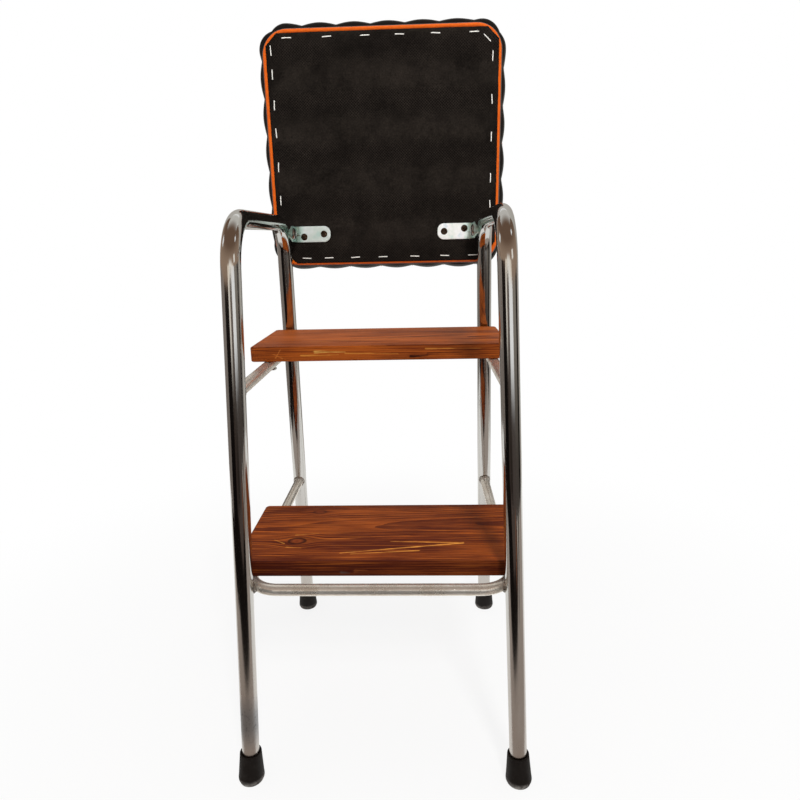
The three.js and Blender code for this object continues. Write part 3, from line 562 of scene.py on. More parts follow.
def stained_pine(pith, knots, streaks, bare, front):
    """Finish of one board: pine, planed and rubbed with red-brown stain. Growth rings about 2 mm apart run
    round a pith that lies off the board, so its faces show long bands and its ends show arcs. The bands part
    round the knots. Thin bright lines show where the stain took less, the longest of them set where each board
    has them. The front face is darkened with painted shade."""
    def finish(tree, place):
        bent = place
        rims = []
        for x, y, z, size, depth in knots:
            away = node(tree, "VectorMath", place, (x, y, z), operation="SUBTRACT")
            squat = node(tree, "VectorMath", away, (0.72, 1, 1), operation="MULTIPLY")
            distance = node(tree, "VectorMath", squat, operation="LENGTH").outputs["Value"]
            near = node(tree, "MapRange", distance, 4 * size, 0.6 * size, 0, 0.8,
                interpolation_type="SMOOTHSTEP")
            pull = node(tree, "VectorMath", away, (0, 1, 1), operation="MULTIPLY")
            shift = node(tree, "VectorMath", pull, Scale=near, operation="SCALE")
            bent = node(tree, "VectorMath", bent, shift, operation="SUBTRACT")
            rims.append((node(tree, "Math", distance, size, operation="DIVIDE"), depth))
        warp = stretched_noise(tree, bent, (2, 14, 14), 2)
        moved = node(tree, "VectorMath", warp.outputs["Color"], (0, 0.009, 0.009), bent,
            operation="MULTIPLY_ADD")
        centred = node(tree, "Mapping", Vector=moved, Location=pith, Rotation=(0, math.radians(0.8),
            math.radians(-1.2)))
        rings = node(tree, "TexWave", Vector=centred, Scale=165, Distortion=0.5, Detail=2, Detail_Scale=0.4,
            wave_type="RINGS", rings_direction="X", wave_profile="SAW")
        fibres = stretched_noise(tree, bent, (16, 700, 700), 4, 0.65)
        clouds = stretched_noise(tree, place, (7, 34, 34), 5)
        grain = node(tree, "Math", rings, 0.24, fibres, operation="MULTIPLY_ADD")
        toned = node(tree, "Math", clouds, 0.9, grain, operation="MULTIPLY_ADD")
        tone = node(tree, "MapRange", toned, bare, bare + 0.4)
        wood = node(tree, "Mix", Factor=tone, A=settings().steps.pale, B=settings().steps.dark,
            data_type="RGBA")
        lines = stretched_noise(tree, bent, (9, 480, 480), 2)
        thin = node(tree, "MapRange", lines, 0.6, 0.72, 0, 0.75)
        wood = node(tree, "Mix", Factor=thin, A=wood, B="#c96c22", data_type="RGBA")
        splits = stretched_noise(tree, place, (70, 1100, 1100), 3)
        for start, end, width, strength, colour in streaks:
            along = Vector(end) - Vector(start)
            away = node(tree, "VectorMath", place, start, operation="SUBTRACT")
            share = node(tree, "VectorMath", away, along / along.length_squared,
                operation="DOT_PRODUCT").outputs["Value"]
            held = node(tree, "Clamp", Value=share)
            foot = node(tree, "VectorMath", along, Scale=held, operation="SCALE")
            off = node(tree, "VectorMath", away, foot, operation="DISTANCE").outputs["Value"]
            spread = node(tree, "Math", held, 0.8 * width, off, operation="MULTIPLY_ADD")
            ragged = node(tree, "Math", splits, 4.5 * width, spread, operation="MULTIPLY_ADD")
            seen = node(tree, "MapRange", ragged, 4 * width, 2.6 * width, 0, strength)
            wood = node(tree, "Mix", Factor=seen, A=wood, B=colour, data_type="RGBA")
        for rim, depth in rims:
            wavering = node(tree, "Math", splits, 0.4, rim, operation="MULTIPLY_ADD")
            heart = node(tree, "MapRange", wavering, 1.42, 1.3, 0, depth)
            share = node(tree, "Math", wavering, 1.4, operation="DIVIDE")
            knot = node(tree, "ValToRGB", Fac=share, stops=((0.21, "#6e2c12"), (0.43, "#8a3f18"), (0.68,
                "#5f2610"), (0.79, "#2f1006"), (0.89, "#3a1408")))
            wood = node(tree, "Mix", Factor=heart, A=wood, B=knot, data_type="RGBA")
        # Painted shade on the front face: where y is below front[0], the wood is darkened towards near black by
        # the share front[1]
        y = node(tree, "SeparateXYZ", place).outputs["Y"]
        painted_front_shade = node(tree, "MapRange", y, front[0] + 0.002, front[0], 0, front[1])
        wood = node(tree, "Mix", Factor=painted_front_shade, A=wood, B="#2a0c08", data_type="RGBA")
        bump = node(tree, "Bump", Height=grain, Strength=0.22, Distance=0.0006)
        gloss = node(tree, "MapRange", fibres, 0.3, 0.7, 0.4, 0.6)
        return {"Base Color": wood, "Roughness": gloss, "Specular IOR Level": 0.07, "Normal": bump}
    return finish


def raw_plywood(tree, place):
    """Raw birch plywood: pale and matt, its plies 1.5 mm thick and dark at the glue."""
    plies = stretched_noise(tree, place, (12, 620, 12), 2)
    colour = node(tree, "ValToRGB", Fac=plies, stops=((0.35, "#8d6a40"), (0.6, "#cdb083")))
    return {"Base Color": colour, "Roughness": 0.8}


def embossed_vinyl(tree, place):
    """Upholstery vinyl with a pressed leather grain, drawn 1.6 mm coarse so that it shows: near black,
    with soft highlights that break up on the grain."""
    grain = node(tree, "TexVoronoi", Vector=place, Scale=620, feature="DISTANCE_TO_EDGE")
    creases = node(tree, "TexNoise", Vector=place, Scale=130, Detail=4, Roughness=0.6)
    height = node(tree, "Math", creases, 0.6, grain, operation="MULTIPLY_ADD")
    bump = node(tree, "Bump", Height=height, Strength=0.4, Distance=0.0007)
    rough = node(tree, "MapRange", creases, 0.3, 0.7, 0.3, 0.46)
    return {
        "Base Color": tuple(settings().seat.vinyl), "Roughness": rough, "Specular IOR Level": 0.22,
        "Normal": bump}


def painted_highlight_vinyl(tree, place):
    """The same vinyl stretched smooth over a cord, its colour lifted to grey as a painted highlight along the
    cord.
    """
    folds = node(tree, "TexNoise", Vector=place, Scale=160, Detail=3, Roughness=0.6)
    bump = node(tree, "Bump", Height=folds, Strength=0.3, Distance=0.0006)
    # The grey base colour is a painted highlight
    return {"Base Color": "#524e4b", "Roughness": 0.28, "Specular IOR Level": 0.7, "Normal": bump}


def contrast_vinyl(tree, place):
    """Bright vinyl wrapped round a cord: a smooth sheen, with painted shade in the hollows of its creases."""
    creases = node(tree, "TexNoise", Vector=place, Scale=240, Detail=3, Roughness=0.6)
    # Painted shade: darker orange where the creases are low
    shade = node(tree, "MapRange", creases, 0.3, 0.55, 0.45, 0)
    colour = node(tree, "Mix", Factor=shade, A=settings().seat.contrast, B="#c2480b", data_type="RGBA")
    bump = node(tree, "Bump", Height=creases, Strength=0.3, Distance=0.0006)
    return {"Base Color": colour, "Roughness": 0.5, "Specular IOR Level": 0.2, "Normal": bump}


def spunbond_cloth(tree, place):
    """Black spunbond polypropylene: matt, pressed with rows of dots set on the diagonal. The dots are
    drawn 2.4 mm apart, twice the real pitch, so that they show."""
    flat = node(tree, "Mapping", Vector=place, Rotation=(math.radians(2.3), math.radians(45), 0), Scale=(420,
        1, 420))
    dots = node(tree, "TexVoronoi", Vector=flat, Scale=1, Randomness=0.06)
    pressed = node(tree, "MapRange", dots, 0.18, 0.42)
    fibres = node(tree, "TexNoise", Vector=place, Scale=520, Detail=4, Roughness=0.75)
    dust = node(tree, "TexNoise", Vector=place, Scale=26, Detail=6, Roughness=0.7)
    height = node(tree, "Math", fibres, 0.8, pressed, operation="MULTIPLY_ADD")
    bump = node(tree, "Bump", Height=height, Strength=0.6, Distance=0.0005)
    raised = node(tree, "Math", pressed, fibres, operation="MULTIPLY")
    mottle = node(tree, "Math", raised, dust, operation="MULTIPLY")
    lint = node(tree, "MapRange", mottle, 0.12, 0.42, 0, 0.55)
    colour = node(tree, "Mix", Factor=lint, A=settings().seat.cloth, B="#3d3630", data_type="RGBA")
    return {"Base Color": colour, "Roughness": 0.95, "Specular IOR Level": 0.12, "Normal": bump}


def zinc_plate(tree, place):
    """Zinc-plated steel strip: pale with soft clouds, darkened to the left with painted shade, bare and
    blue-green past its bend.
    """
    bloom = node(tree, "TexNoise", Vector=place, Scale=62, Detail=3, Roughness=0.55)
    plate = node(tree, "ValToRGB", Fac=bloom, stops=((0.34, "#cfe6de"), (0.47, "#f1f4ee"), (0.6, "#ffffff"),
        (0.7, "#e3ecf0")))
    x = node(tree, "SeparateXYZ", place).outputs["X"]
    outward = node(tree, "Math", x, operation="ABSOLUTE")
    # Painted shade: towards the left bracket, the plate is mixed up to half towards grey-green
    painted_left_shade = node(tree, "MapRange", x, 0.06, -0.06, 0, 0.5)
    plate = node(tree, "Mix", Factor=painted_left_shade, A=plate, B="#8fa69d", data_type="RGBA")
    bend = node(tree, "MapRange", outward, 0.1, 0.11, 0, 0.5)
    colour = node(tree, "Mix", Factor=bend, A=plate, B="#9bdcd0", data_type="RGBA")
    bare = node(tree, "MapRange", outward, 0.1035, 0.108, 0.12, 0.9)
    rough = node(tree, "MapRange", bloom, 0.3, 0.7, 0.3, 0.42)
    grit = node(tree, "TexNoise", Vector=place, Scale=1400, Detail=2)
    bump = node(tree, "Bump", Height=grit, Strength=0.05, Distance=0.0002)
    return {"Base Color": colour, "Metallic": bare, "Roughness": rough, "Normal": bump}


def specked_metal(dull, bright, stops, scale, detail, breakup, metallic, roughness):
    """Finish of a small metal part: two tones that break up in fine specks."""
    def finish(tree, place):
        specks = node(tree, "TexNoise", Vector=place, Scale=scale, Detail=detail, Roughness=breakup)
        colour = node(tree, "ValToRGB", Fac=specks, stops=((stops[0], dull), (stops[1], bright)))
        return {"Base Color": colour, "Metallic": metallic, "Roughness": roughness}
    return finish


# Chemically bronzed screws: dark brown, with fine brighter specks
bronzed_steel = specked_metal("#3f352d", "#8d7a68", (0.4, 0.72), 600, 3, 0.6, 1, 0.42)
# Bright plated bolts and screws: silvery, with small dull specks
plated_steel = specked_metal("#8b8b88", "#c9c9c6", (0.35, 0.55), 900, 3, 0.6, 1, 0.26)
# Galvanised staple wire, flattened: drawn near white as a painted glare against the cloth
painted_glare_wire = specked_metal("#dedacf", "#faf8f2", (0.3, 0.5), 700, 2, 0.5, 0.15, 0.34)


def sewing_thread(tree, place):
    """Bonded polyester thread, twisted: a soft sheen with fine diagonal plies."""
    plies = node(tree, "TexWave", Vector=place, Scale=900, bands_direction="DIAGONAL")
    bump = node(tree, "Bump", Height=plies, Strength=0.5, Distance=0.0002)
    return {"Base Color": tuple(settings().seat.contrast), "Roughness": 0.6, "Normal": bump}


# Pieces on the frame

class STOOL_OT_side_frames(bpy.types.Operator):
    """Makes the two side frames, each one bent tube with two legs and a rail"""
    bl_idname = "stool.side_frames"
    bl_label = "Side Frames"

    def execute(self, context):
        made = settings().frame
        finish = coat("chrome_plate", chrome_plate)
        for side, sign in SIDES.items():
            ends = {end: leg_point(end, sign, 0) + leg_axis(end, sign) * TUBE_END for end in FOOT}
            corners = [
                ends["front"], leg_point("front", sign, RAIL_HEIGHT),
                leg_point("rear", sign, RAIL_HEIGHT), ends["rear"],
            ]
            mesh = tube(corners, made.shoulder_radius, made.tube_diameter / 2, finish)
            piece(f"side_frame_tube_{side}", mesh, "frame", "chrome", finish, f"side_frame_{side}")
        return {"FINISHED"}


class STOOL_OT_ferrules(bpy.types.Operator):
    """Makes the four rubber ferrules, moulded round and worn level by the floor"""
    bl_idname = "stool.ferrules"
    bl_label = "Ferrules"

    def execute(self, context):
        bore = settings().frame.tube_diameter / 2 + GAP
        profile = [
            (0, -0.0132), (0.0119, -0.0132), (0.0123, -0.0006), (0.0129, 0.0012), (0.01355, 0.0026),
            (0.0137, 0.0036), (0.01365, 0.0052), (0.0132, 0.0092), (0.0122, 0.0224),
            *arc((0.01030, 0.0334), 0.0011, 10, 100, 5), (bore + 0.0004, 0.0342), (bore, 0.0334),
            (bore, 0.005), (0, 0.005),
        ]
        finish = coat("moulded_rubber", moulded_rubber)
        for end in FOOT:
            for side, sign in SIDES.items():
                shape = bmesh.new()
                shape.from_mesh(turned(profile, 48))
                tilt = Vector((0, 0, 1)).rotation_difference(leg_axis(end, sign))
                place = Matrix.Translation(leg_point(end, sign, 0)) @ tilt.to_matrix().to_4x4()
                shape.transform(place)
                parts = [*shape.verts, *shape.edges, *shape.faces]
                cut = bmesh.ops.bisect_plane(shape, geom=parts, plane_no=(0, 0, -1), clear_outer=True)
                rim = [part for part in cut["geom_cut"] if isinstance(part, bmesh.types.BMEdge)]
                bmesh.ops.contextual_create(shape, geom=rim)
                mesh = smoothed(mesh_of(shape), 40)
                name = f"{end}_{side}"
                piece(f"rubber_ferrule_{name}", mesh, "frame", "rubber", finish, f"ferrule_{name}")
        return {"FINISHED"}


class STOOL_OT_step_supports(bpy.types.Operator):
    """Makes the two step supports, each a thinner tube bent to a U"""
    bl_idname = "stool.step_supports"
    bl_label = "Step Supports"

    into_weld = 0.006

    def execute(self, context):
        finish = coat("satin_chromed_tube", satin_chrome)
        for name, step in STEPS.items():
            sizes = support_sizes(step)
            arm, height = sizes["arm"], sizes["height"]
            end = arm.y + sizes["outward"] * self.into_weld
            corners = [(-arm.x, end, height), (-arm.x, sizes["cross_y"], height),
                       (arm.x, sizes["cross_y"], height), (arm.x, end, height)]
            mesh = tube(corners, sizes["bend"], sizes["radius"], finish, 32)
            piece(f"{name}_support_tube", mesh, "frame", "satin_chrome", finish, f"{name}_step_support")
        return {"FINISHED"}


class STOOL_OT_weld_beads(bpy.types.Operator):
    """Makes the eight welds between the supports and the legs, each a ring of overlapping ripples"""
    bl_idname = "stool.weld_beads"
    bl_label = "Weld Beads"

    corner_ring, corner_ripple, corner_count = 0.0042, 0.0023, 12
    butt_gap, butt_ripple, butt_count = 0.0004, 0.0018, 20
    lumpiness, lump_scale = 0.28, 900

    def execute(self, context):
        finish = coat("plated_weld", plated_weld)
        for name, step in STEPS.items():
            sizes = support_sizes(step)
            for side, sign in SIDES.items():
                for kind, places in (("corner", self.corner(step, sizes, sign)),
                                     ("butt", self.butt(step, sizes, sign))):
                    mesh = self.ripples(places)
                    node_name = f"{name}_{kind}_weld_{side}"
                    piece(f"{name}_{kind}_bead_{side}", mesh, "frame", "satin_chrome", finish, node_name)
        return {"FINISHED"}

    def corner(self, step, sizes, sign):
        """Ripples round the line where a leg lies in the support's bend."""
        leg = sizes["cross"]
        middle = Vector((sizes["arm"].x - sizes["bend"], sizes["cross_y"] - sizes["outward"] * sizes["bend"],
                         sizes["height"]))
        inward = (middle - leg).normalized()
        touch = leg + inward * (settings().frame.tube_diameter / 2 + 0.0001)
        across = inward.cross(Vector((0, 0, 1)))
        places = []
        for i in range(self.corner_count):
            angle = 2 * math.pi * i / self.corner_count
            rise = Vector((0, 0, self.corner_ring * math.sin(angle)))
            spot = touch + across * self.corner_ring * math.cos(angle) + rise
            places.append((Vector((sign * spot.x, spot.y, spot.z)), self.corner_ripple))
        return places

    def butt(self, step, sizes, sign):
        """Ripples round the end of an arm, on the leg's own curve."""
        radius = settings().frame.tube_diameter / 2
        arm, ring = sizes["arm"], sizes["radius"] + self.butt_gap
        places = []
        for i in range(self.butt_count):
            angle = 2 * math.pi * i / self.butt_count
            across = ring * math.cos(angle)
            height = sizes["height"] + ring * math.sin(angle)
            leg = leg_point(step["arms"], 1, height)
            off = arm.x + across - leg.x
            reach = math.sqrt(max(radius ** 2 - off ** 2, 0))
            spot = Vector((sign * (arm.x + across), leg.y + sizes["outward"] * reach, height))
            places.append((spot, self.butt_ripple))
        return places

    def ripples(self, places):
        shape = bmesh.new()
        for centre, size in places:
            bead = bmesh.ops.create_icosphere(shape, subdivisions=2, radius=size)["verts"]
            for vertex in bead:
                lump = 1 + self.lumpiness * noise.noise((vertex.co + centre) * self.lump_scale)
                vertex.co = centre + vertex.co * lump
        for face in shape.faces:
            face.smooth = True
        return mesh_of(shape)


class STOOL_OT_step_boards(bpy.types.Operator):
    """Makes the two pine boards, their corners and edges rounded"""
    bl_idname = "stool.step_boards"
    bl_label = "Step Boards"

    right_trim = 0.0018

    def execute(self, context):
        made = settings().steps
        lit, front = "#e8983e", -0.0332
        # Each look ends with where its tone range starts (lower for the darker lower board), then the front
        # face's y and the strength of its painted shade
        looks = {
            "lower": stained_pine((0.02, 0.055, -0.16), (
                (-0.0911, -0.0946, 0.2456, 0.0064, 0.9), (-0.0775, -0.0225, 0.2456, 0.0052, 0.45)), (
                ((-0.024, -0.139, 0.2353), (-0.012, -0.139, 0.2353), 0.0014, 0.8, "#a85a26"),
                ((0.0869, -0.1006, 0.2456), (-0.0412, -0.121, 0.2456), 0.001, 1, lit),
                ((0.0869, -0.1006, 0.2456), (0.01, -0.0962, 0.2456), 0.0008, 0.9, lit),
                ((0.04, -0.1165, 0.2456), (-0.03, -0.123, 0.2456), 0.0008, 0.8, lit),
                ((-0.052, -0.089, 0.2456), (0.03, -0.083, 0.2456), 0.0005, 0.45, "#c9702a"),
                ((-0.104, -0.1, 0.2456), (-0.116, -0.092, 0.2456), 0.0006, 0.7, lit),
                ((-0.095, -0.081, 0.2456), (-0.07, -0.077, 0.2456), 0.0006, 0.6, lit),
                ((-0.1, -0.108, 0.2456), (-0.084, -0.11, 0.2456), 0.0006, 0.6, lit),
                ((-0.038, -0.139, 0.2335), (-0.03, -0.139, 0.2328), 0.0012, 0.7, "#6b625c")),
                0.76, (-0.1374, 0.62)),
            "upper": stained_pine((0.08, -0.02, -0.37), (), (
                ((-0.0706, front, 0.4405), (-0.0378, front, 0.4398), 0.0011, 0.9, "#e6ac55"),
                ((-0.086, front, 0.4365), (-0.045, front, 0.4372), 0.0007, 0.8, lit),
                ((-0.0378, front, 0.4385), (0.02, front, 0.4372), 0.0006, 0.7, lit),
                ((0.05, front, 0.4425), (0.11, front, 0.442), 0.0006, 0.6, lit),
                ((0.034, front, 0.4342), (0.052, front, 0.4352), 0.0012, 0.95, "#260d06"),
                ((0.052, front, 0.4375), (0.09, front, 0.438), 0.0007, 0.7, "#3a170b"),
                ((-0.1145, front, 0.4345), (-0.108, front, 0.4445), 0.0006, 0.8, "#d9803a"),
                ((-0.107, front, 0.434), (-0.117, front, 0.4385), 0.0006, 0.8, "#d9803a"),
                ((-0.0809, -0.0032, 0.4466), (0.0732, 0.0243, 0.4466), 0.0008, 0.4, lit)),
                0.92, (-0.0317, 0.38)),
        }
        for name, step in STEPS.items():
            half_length, half_depth = step["length"] / 2, step["depth"] / 2
            middle = board_middle(step)
            outline = rounded_rectangle(
                (-half_length, middle - half_depth), (half_length - self.right_trim, middle + half_depth),
                [made.corner_radius] * 4)
            mesh = slab(outline, step["top"] - BOARD_THICKNESS, step["top"], made.edge_radius)
            finish = coat(f"stained_pine_{name}", looks[name])
            piece(f"{name}_pine_board", mesh, "frame", "stained_pine", finish, f"{name}_step_board")
        return {"FINISHED"}


def cross_recess(width, depth):
    """Cutter for a cross-slotted head: two crossed wedges that meet at the bottom."""
    cutters = []
    for turn in (0, math.pi / 2):
        shape = bmesh.new()
        bmesh.ops.create_cube(shape, size=1)
        for vertex in shape.verts:
            deep = vertex.co.z > 0
            vertex.co.x *= width * (0.35 if deep else 1.15)
            vertex.co.y *= width * (0.16 if deep else 0.3)
            vertex.co.z = depth if deep else -depth
        shape.transform(Matrix.Rotation(turn, 4, "Z"))
        cutters.append(mesh_of(shape))
    return cutters


class STOOL_OT_board_screws(bpy.types.Operator):
    """Makes the eight pan-head screws that hold the boards from below"""
    bl_idname = "stool.board_screws"
    bl_label = "Board Screws"

    def execute(self, context):
        finish = coat("plated_steel", plated_steel)
        profile = [(0, -0.0026), *arc((0.0023, -0.0006), 0.002, 270, 360, 5),
                   (0.0043, 0), (0.0021, 0), (0.0021, 0.019), (0, 0.0225)]
        screw = smoothed(carved(turned(profile, 28), cross_recess(0.0042, 0.0018)), 35)
        points = []
        nodes = []
        for name, step in STEPS.items():
            sizes = support_sizes(step)
            offset = step["depth"] / 2 - SCREW_INSET
            for row, shift in (("front", -offset), ("rear", offset)):
                for side, sign in SIDES.items():
                    height = sizes["height"] - sizes["radius"] - GAP
                    points.append((sign * sizes["arm"].x, board_middle(step) + shift, height))
                    nodes.append(f"{name}_board_screw_{row}_{side}")
        turns = [(0, 0, 0.7 * i) for i in range(len(points))]
        mesh = copies(screw, points, turns, finish)
        piece("pan_head_screws", mesh, "frame", "steel", finish, *nodes)
        return {"FINISHED"}


class STOOL_OT_pivot_hardware(bpy.types.Operator):
    """Makes the domed pivot bolts and their washers, and dresses the threaded inserts"""
    bl_idname = "stool.pivot_hardware"
    bl_label = "Pivot Hardware"

    head_radius, shank_radius, washer_bore = 0.007, 0.003, 0.0031
    head_seat, shank_end = 0.1103, 0.1262
    washer_near, washer_far = 0.1129, 0.1139

    def execute(self, context):
        steel = coat("plated_steel", plated_steel)
        zinc = coat("zinc_plate", zinc_plate)
        rim, shank, bore = self.head_radius, self.shank_radius, self.washer_bore
        dome = [(x, self.head_seat - 0.0007 - y) for x, y in arc((0, -0.0059), 0.0092, 90, 41, 8)]
        bolt = [*dome, (rim, self.head_seat - 0.0005), (rim, self.head_seat), (shank, self.head_seat),
                (shank, self.shank_end), (0, self.shank_end)]
        washer = [(bore, self.washer_near), (rim, self.washer_near), (rim, self.washer_far),
                  (bore, self.washer_far), (bore, self.washer_near)]
        for side, sign in SIDES.items():
            swing = Matrix.Rotation(0 if sign > 0 else math.pi, 4, "Z") @ Matrix.Rotation(math.pi / 2, 4, "Y")
            place = Matrix.Translation(hinge["pos_m"]) @ swing
            for name, profile, finish, slot in (
                    ("bolt", bolt, steel, "steel"), ("washer", washer, zinc, "zinc")):
                mesh = smoothed(turned(profile, 40), 40)
                mesh.transform(place)
                piece(f"domed_pivot_{name}_{side}", mesh, "frame", slot, finish, f"pivot_{name}_{side}")
            insert = frame["nodes"][f"pivot_insert_{side}"]
            insert.data.materials.clear()
            insert.data.materials.append(zinc)
        return {"FINISHED"}


# Pieces on the seat

class STOOL_OT_hinge_brackets(bpy.types.Operator):
    """Makes the two zinc-plated angle brackets, each a strip bent square with a rib in its bend"""
    bl_idname = "stool.hinge_brackets"
    bl_label = "Hinge Brackets"

    half_thickness = 0.001
    bend_radius = 0.0035

    def execute(self, context):
        finish = coat("zinc_plate", zinc_plate)
        for side, sign in SIDES.items():
            mesh = self.bracket()
            if sign < 0:
                mesh.transform(Matrix.Rotation(math.pi, 4, "Z"))
            mesh = on_seat(mesh)
            piece(f"angle_bracket_{side}", mesh, "seat", "zinc", finish, f"hinge_bracket_{side}")
        return {"FINISHED"}

    def bracket(self):
        arc_length = self.bend_radius * math.pi / 2
        ear_centre = BRACKET_BEND + arc_length + BRACKET_MIDDLE - self.bend_radius
        half = BRACKET_HALF_WIDTH
        outline = rounded_rectangle(
            (BRACKET_TIP, -half), (ear_centre + half, half), (0.008, half, half, 0.008), 14)
        strip = slab(outline, -self.half_thickness, self.half_thickness, 0.0007)
        cutters = []
        for x, y in BRACKET_SCREWS:
            sink = turned([(0, -0.003), (0.0045, -0.003), (0.0044, -0.001), (0.0022, 0.0011), (0.0022, 0.003),
                           (0, 0.003)], 32)
            sink.transform(Matrix.Translation((x, y, 0)))
            cutters.append(sink)
        bore = turned([(0, -0.003), (0.0033, -0.003), (0.0033, 0.003), (0, 0.003)], 32)
        bore.transform(Matrix.Translation((ear_centre, 0, 0)))
        strip = carved(strip, [*cutters, bore])
        shape = bmesh.new()
        shape.from_mesh(strip)
        for i in range(11):
            parts = [*shape.verts, *shape.edges, *shape.faces]
            spot = (BRACKET_BEND + arc_length * i / 10, 0, 0)
            bmesh.ops.bisect_plane(shape, geom=parts, plane_co=spot, plane_no=(1, 0, 0))
        for vertex in shape.verts:
            vertex.co = self.bent(*vertex.co)
        self.add_rib(shape)
        return smoothed(mesh_of(shape), 32)

    def bent(self, along, across, through):
        """Place of a point of the flat strip once the strip is bent square."""
        angle = min(max((along - BRACKET_BEND) / self.bend_radius, 0), math.pi / 2)
        straight = min(along, BRACKET_BEND)
        past = max(along - BRACKET_BEND - self.bend_radius * math.pi / 2, 0)
        radius = self.bend_radius + through
        return Vector((straight + radius * math.sin(angle), across,
                       BRACKET_MIDDLE - self.bend_radius + radius * math.cos(angle) - past))

    def add_rib(self, shape):
        """The rib pressed across the inside of the bend."""
        inside = BRACKET_BEND + self.bend_radius - self.half_thickness
        under = BRACKET_MIDDLE - self.half_thickness
        start, end = Vector((inside - 0.0064, 0, under + 0.0004)), Vector((inside + 0.0004, 0, under - 0.0064))
        corner = Vector((inside + 0.0006, 0, under + 0.0006))
        rings = []
        for i in range(9):
            share = i / 8
            middle = start.lerp(end, share)
            width = 0.0021 * math.sin(math.pi * (0.12 + 0.76 * share))
            back = (corner - middle) * 0.9
            rings.append([shape.verts.new(middle + back * (abs(a) / 90) ** 2.2
                                          + Vector((0, width * math.sin(math.radians(a)), 0)))
                          for a in range(-90, 91, 15)])
        skin(shape, rings)
        capped(shape, rings)
        bmesh.ops.recalc_face_normals(shape, faces=[f for f in shape.faces if f.verts[0] in sum(rings, [])])


class STOOL_OT_bracket_screws(bpy.types.Operator):
    """Makes the four bronzed cross-slotted screws in the brackets"""
    bl_idname = "stool.bracket_screws"
    bl_label = "Bracket Screws"

    def execute(self, context):
        finish = coat("bronzed_steel", bronzed_steel)
        profile = [(0, -0.0006), (0.0014, -0.0006), (0.0028, -0.00045), (0.0037, -0.00015), (0.0041, 0.0001),
                   (0.002, 0.002), (0.002, 0.01), (0, 0.013)]
        screw = smoothed(carved(turned(profile, 32), cross_recess(0.0042, 0.0015)), 35)
        points = []
        turns = []
        nodes = []
        under = BRACKET_MIDDLE - 0.001
        for side, sign in SIDES.items():
            for name, (x, y), turn in zip(("tip", "heel"), BRACKET_SCREWS, (0.5, 1.1)):
                points.append(SEAT_PLACE @ Vector((sign * x, sign * y, under)))
                turns.append((SEAT_PLACE.to_3x3() @ Matrix.Rotation(turn + sign, 3, "Z")).to_euler())
                nodes.append(f"bracket_screw_{side}_{name}")
        mesh = copies(screw, points, turns, finish)
        piece("bronzed_screws", mesh, "seat", "bronze", finish, *nodes)
        return {"FINISHED"}


class STOOL_OT_seat_base(bpy.types.Operator):
    """Dresses the plywood base inside the seat"""
    bl_idname = "stool.seat_base"
    bl_label = "Seat Base"

    def execute(self, context):
        mesh = frame["nodes"]["seat_base"].data
        mesh.materials.clear()
        mesh.materials.append(coat("raw_plywood", raw_plywood))
        return {"FINISHED"}


# Staples along each edge of the cover: shares of the half width from the left, and of the depth
# from the front
STAPLE_FRONT = (-0.82, -0.47, -0.14, 0.16, 0.47, 0.8)
STAPLE_REAR = (-0.75, -0.54, -0.29, -0.03, 0.27, 0.55, 0.81)
STAPLE_LEFT = (0.07, 0.17, 0.3, 0.42, 0.57, 0.72, 0.87)
STAPLE_RIGHT = (0.12, 0.3, 0.46, 0.64, 0.76, 0.88)
STAPLE_INSET = 0.0052
STAPLE_REAR_INSET = 0.003
STAPLE_CORNER_INSET = 0.0122


def staple_places():
    """(x, y, turn) of each staple's middle in the seat's own frame."""
    places = []
    for row, y, shares in ((0, BASE_FRONT + STAPLE_INSET, STAPLE_FRONT),
                           (1, BASE_REAR - STAPLE_REAR_INSET, STAPLE_REAR)):
        for i, share in enumerate(shares):
            places.append((share * base_half_width(y), y, 0.05 * math.sin(5 * i + row)))
    for sign, shares in ((-1, STAPLE_LEFT), (1, STAPLE_RIGHT)):
        for i, share in enumerate(shares):
            y = BASE_FRONT + share * (BASE_REAR - BASE_FRONT)
            turn = math.pi / 2 + 0.06 * math.sin(4 * i + sign)
            places.append((sign * (base_half_width(y) - STAPLE_INSET), y, turn))
    places.append((BASE_FRONT_HALF - STAPLE_CORNER_INSET, BASE_FRONT + STAPLE_CORNER_INSET, math.pi / 4))
    return [(BASE_SHIFT + x, y, turn) for x, y, turn in places]


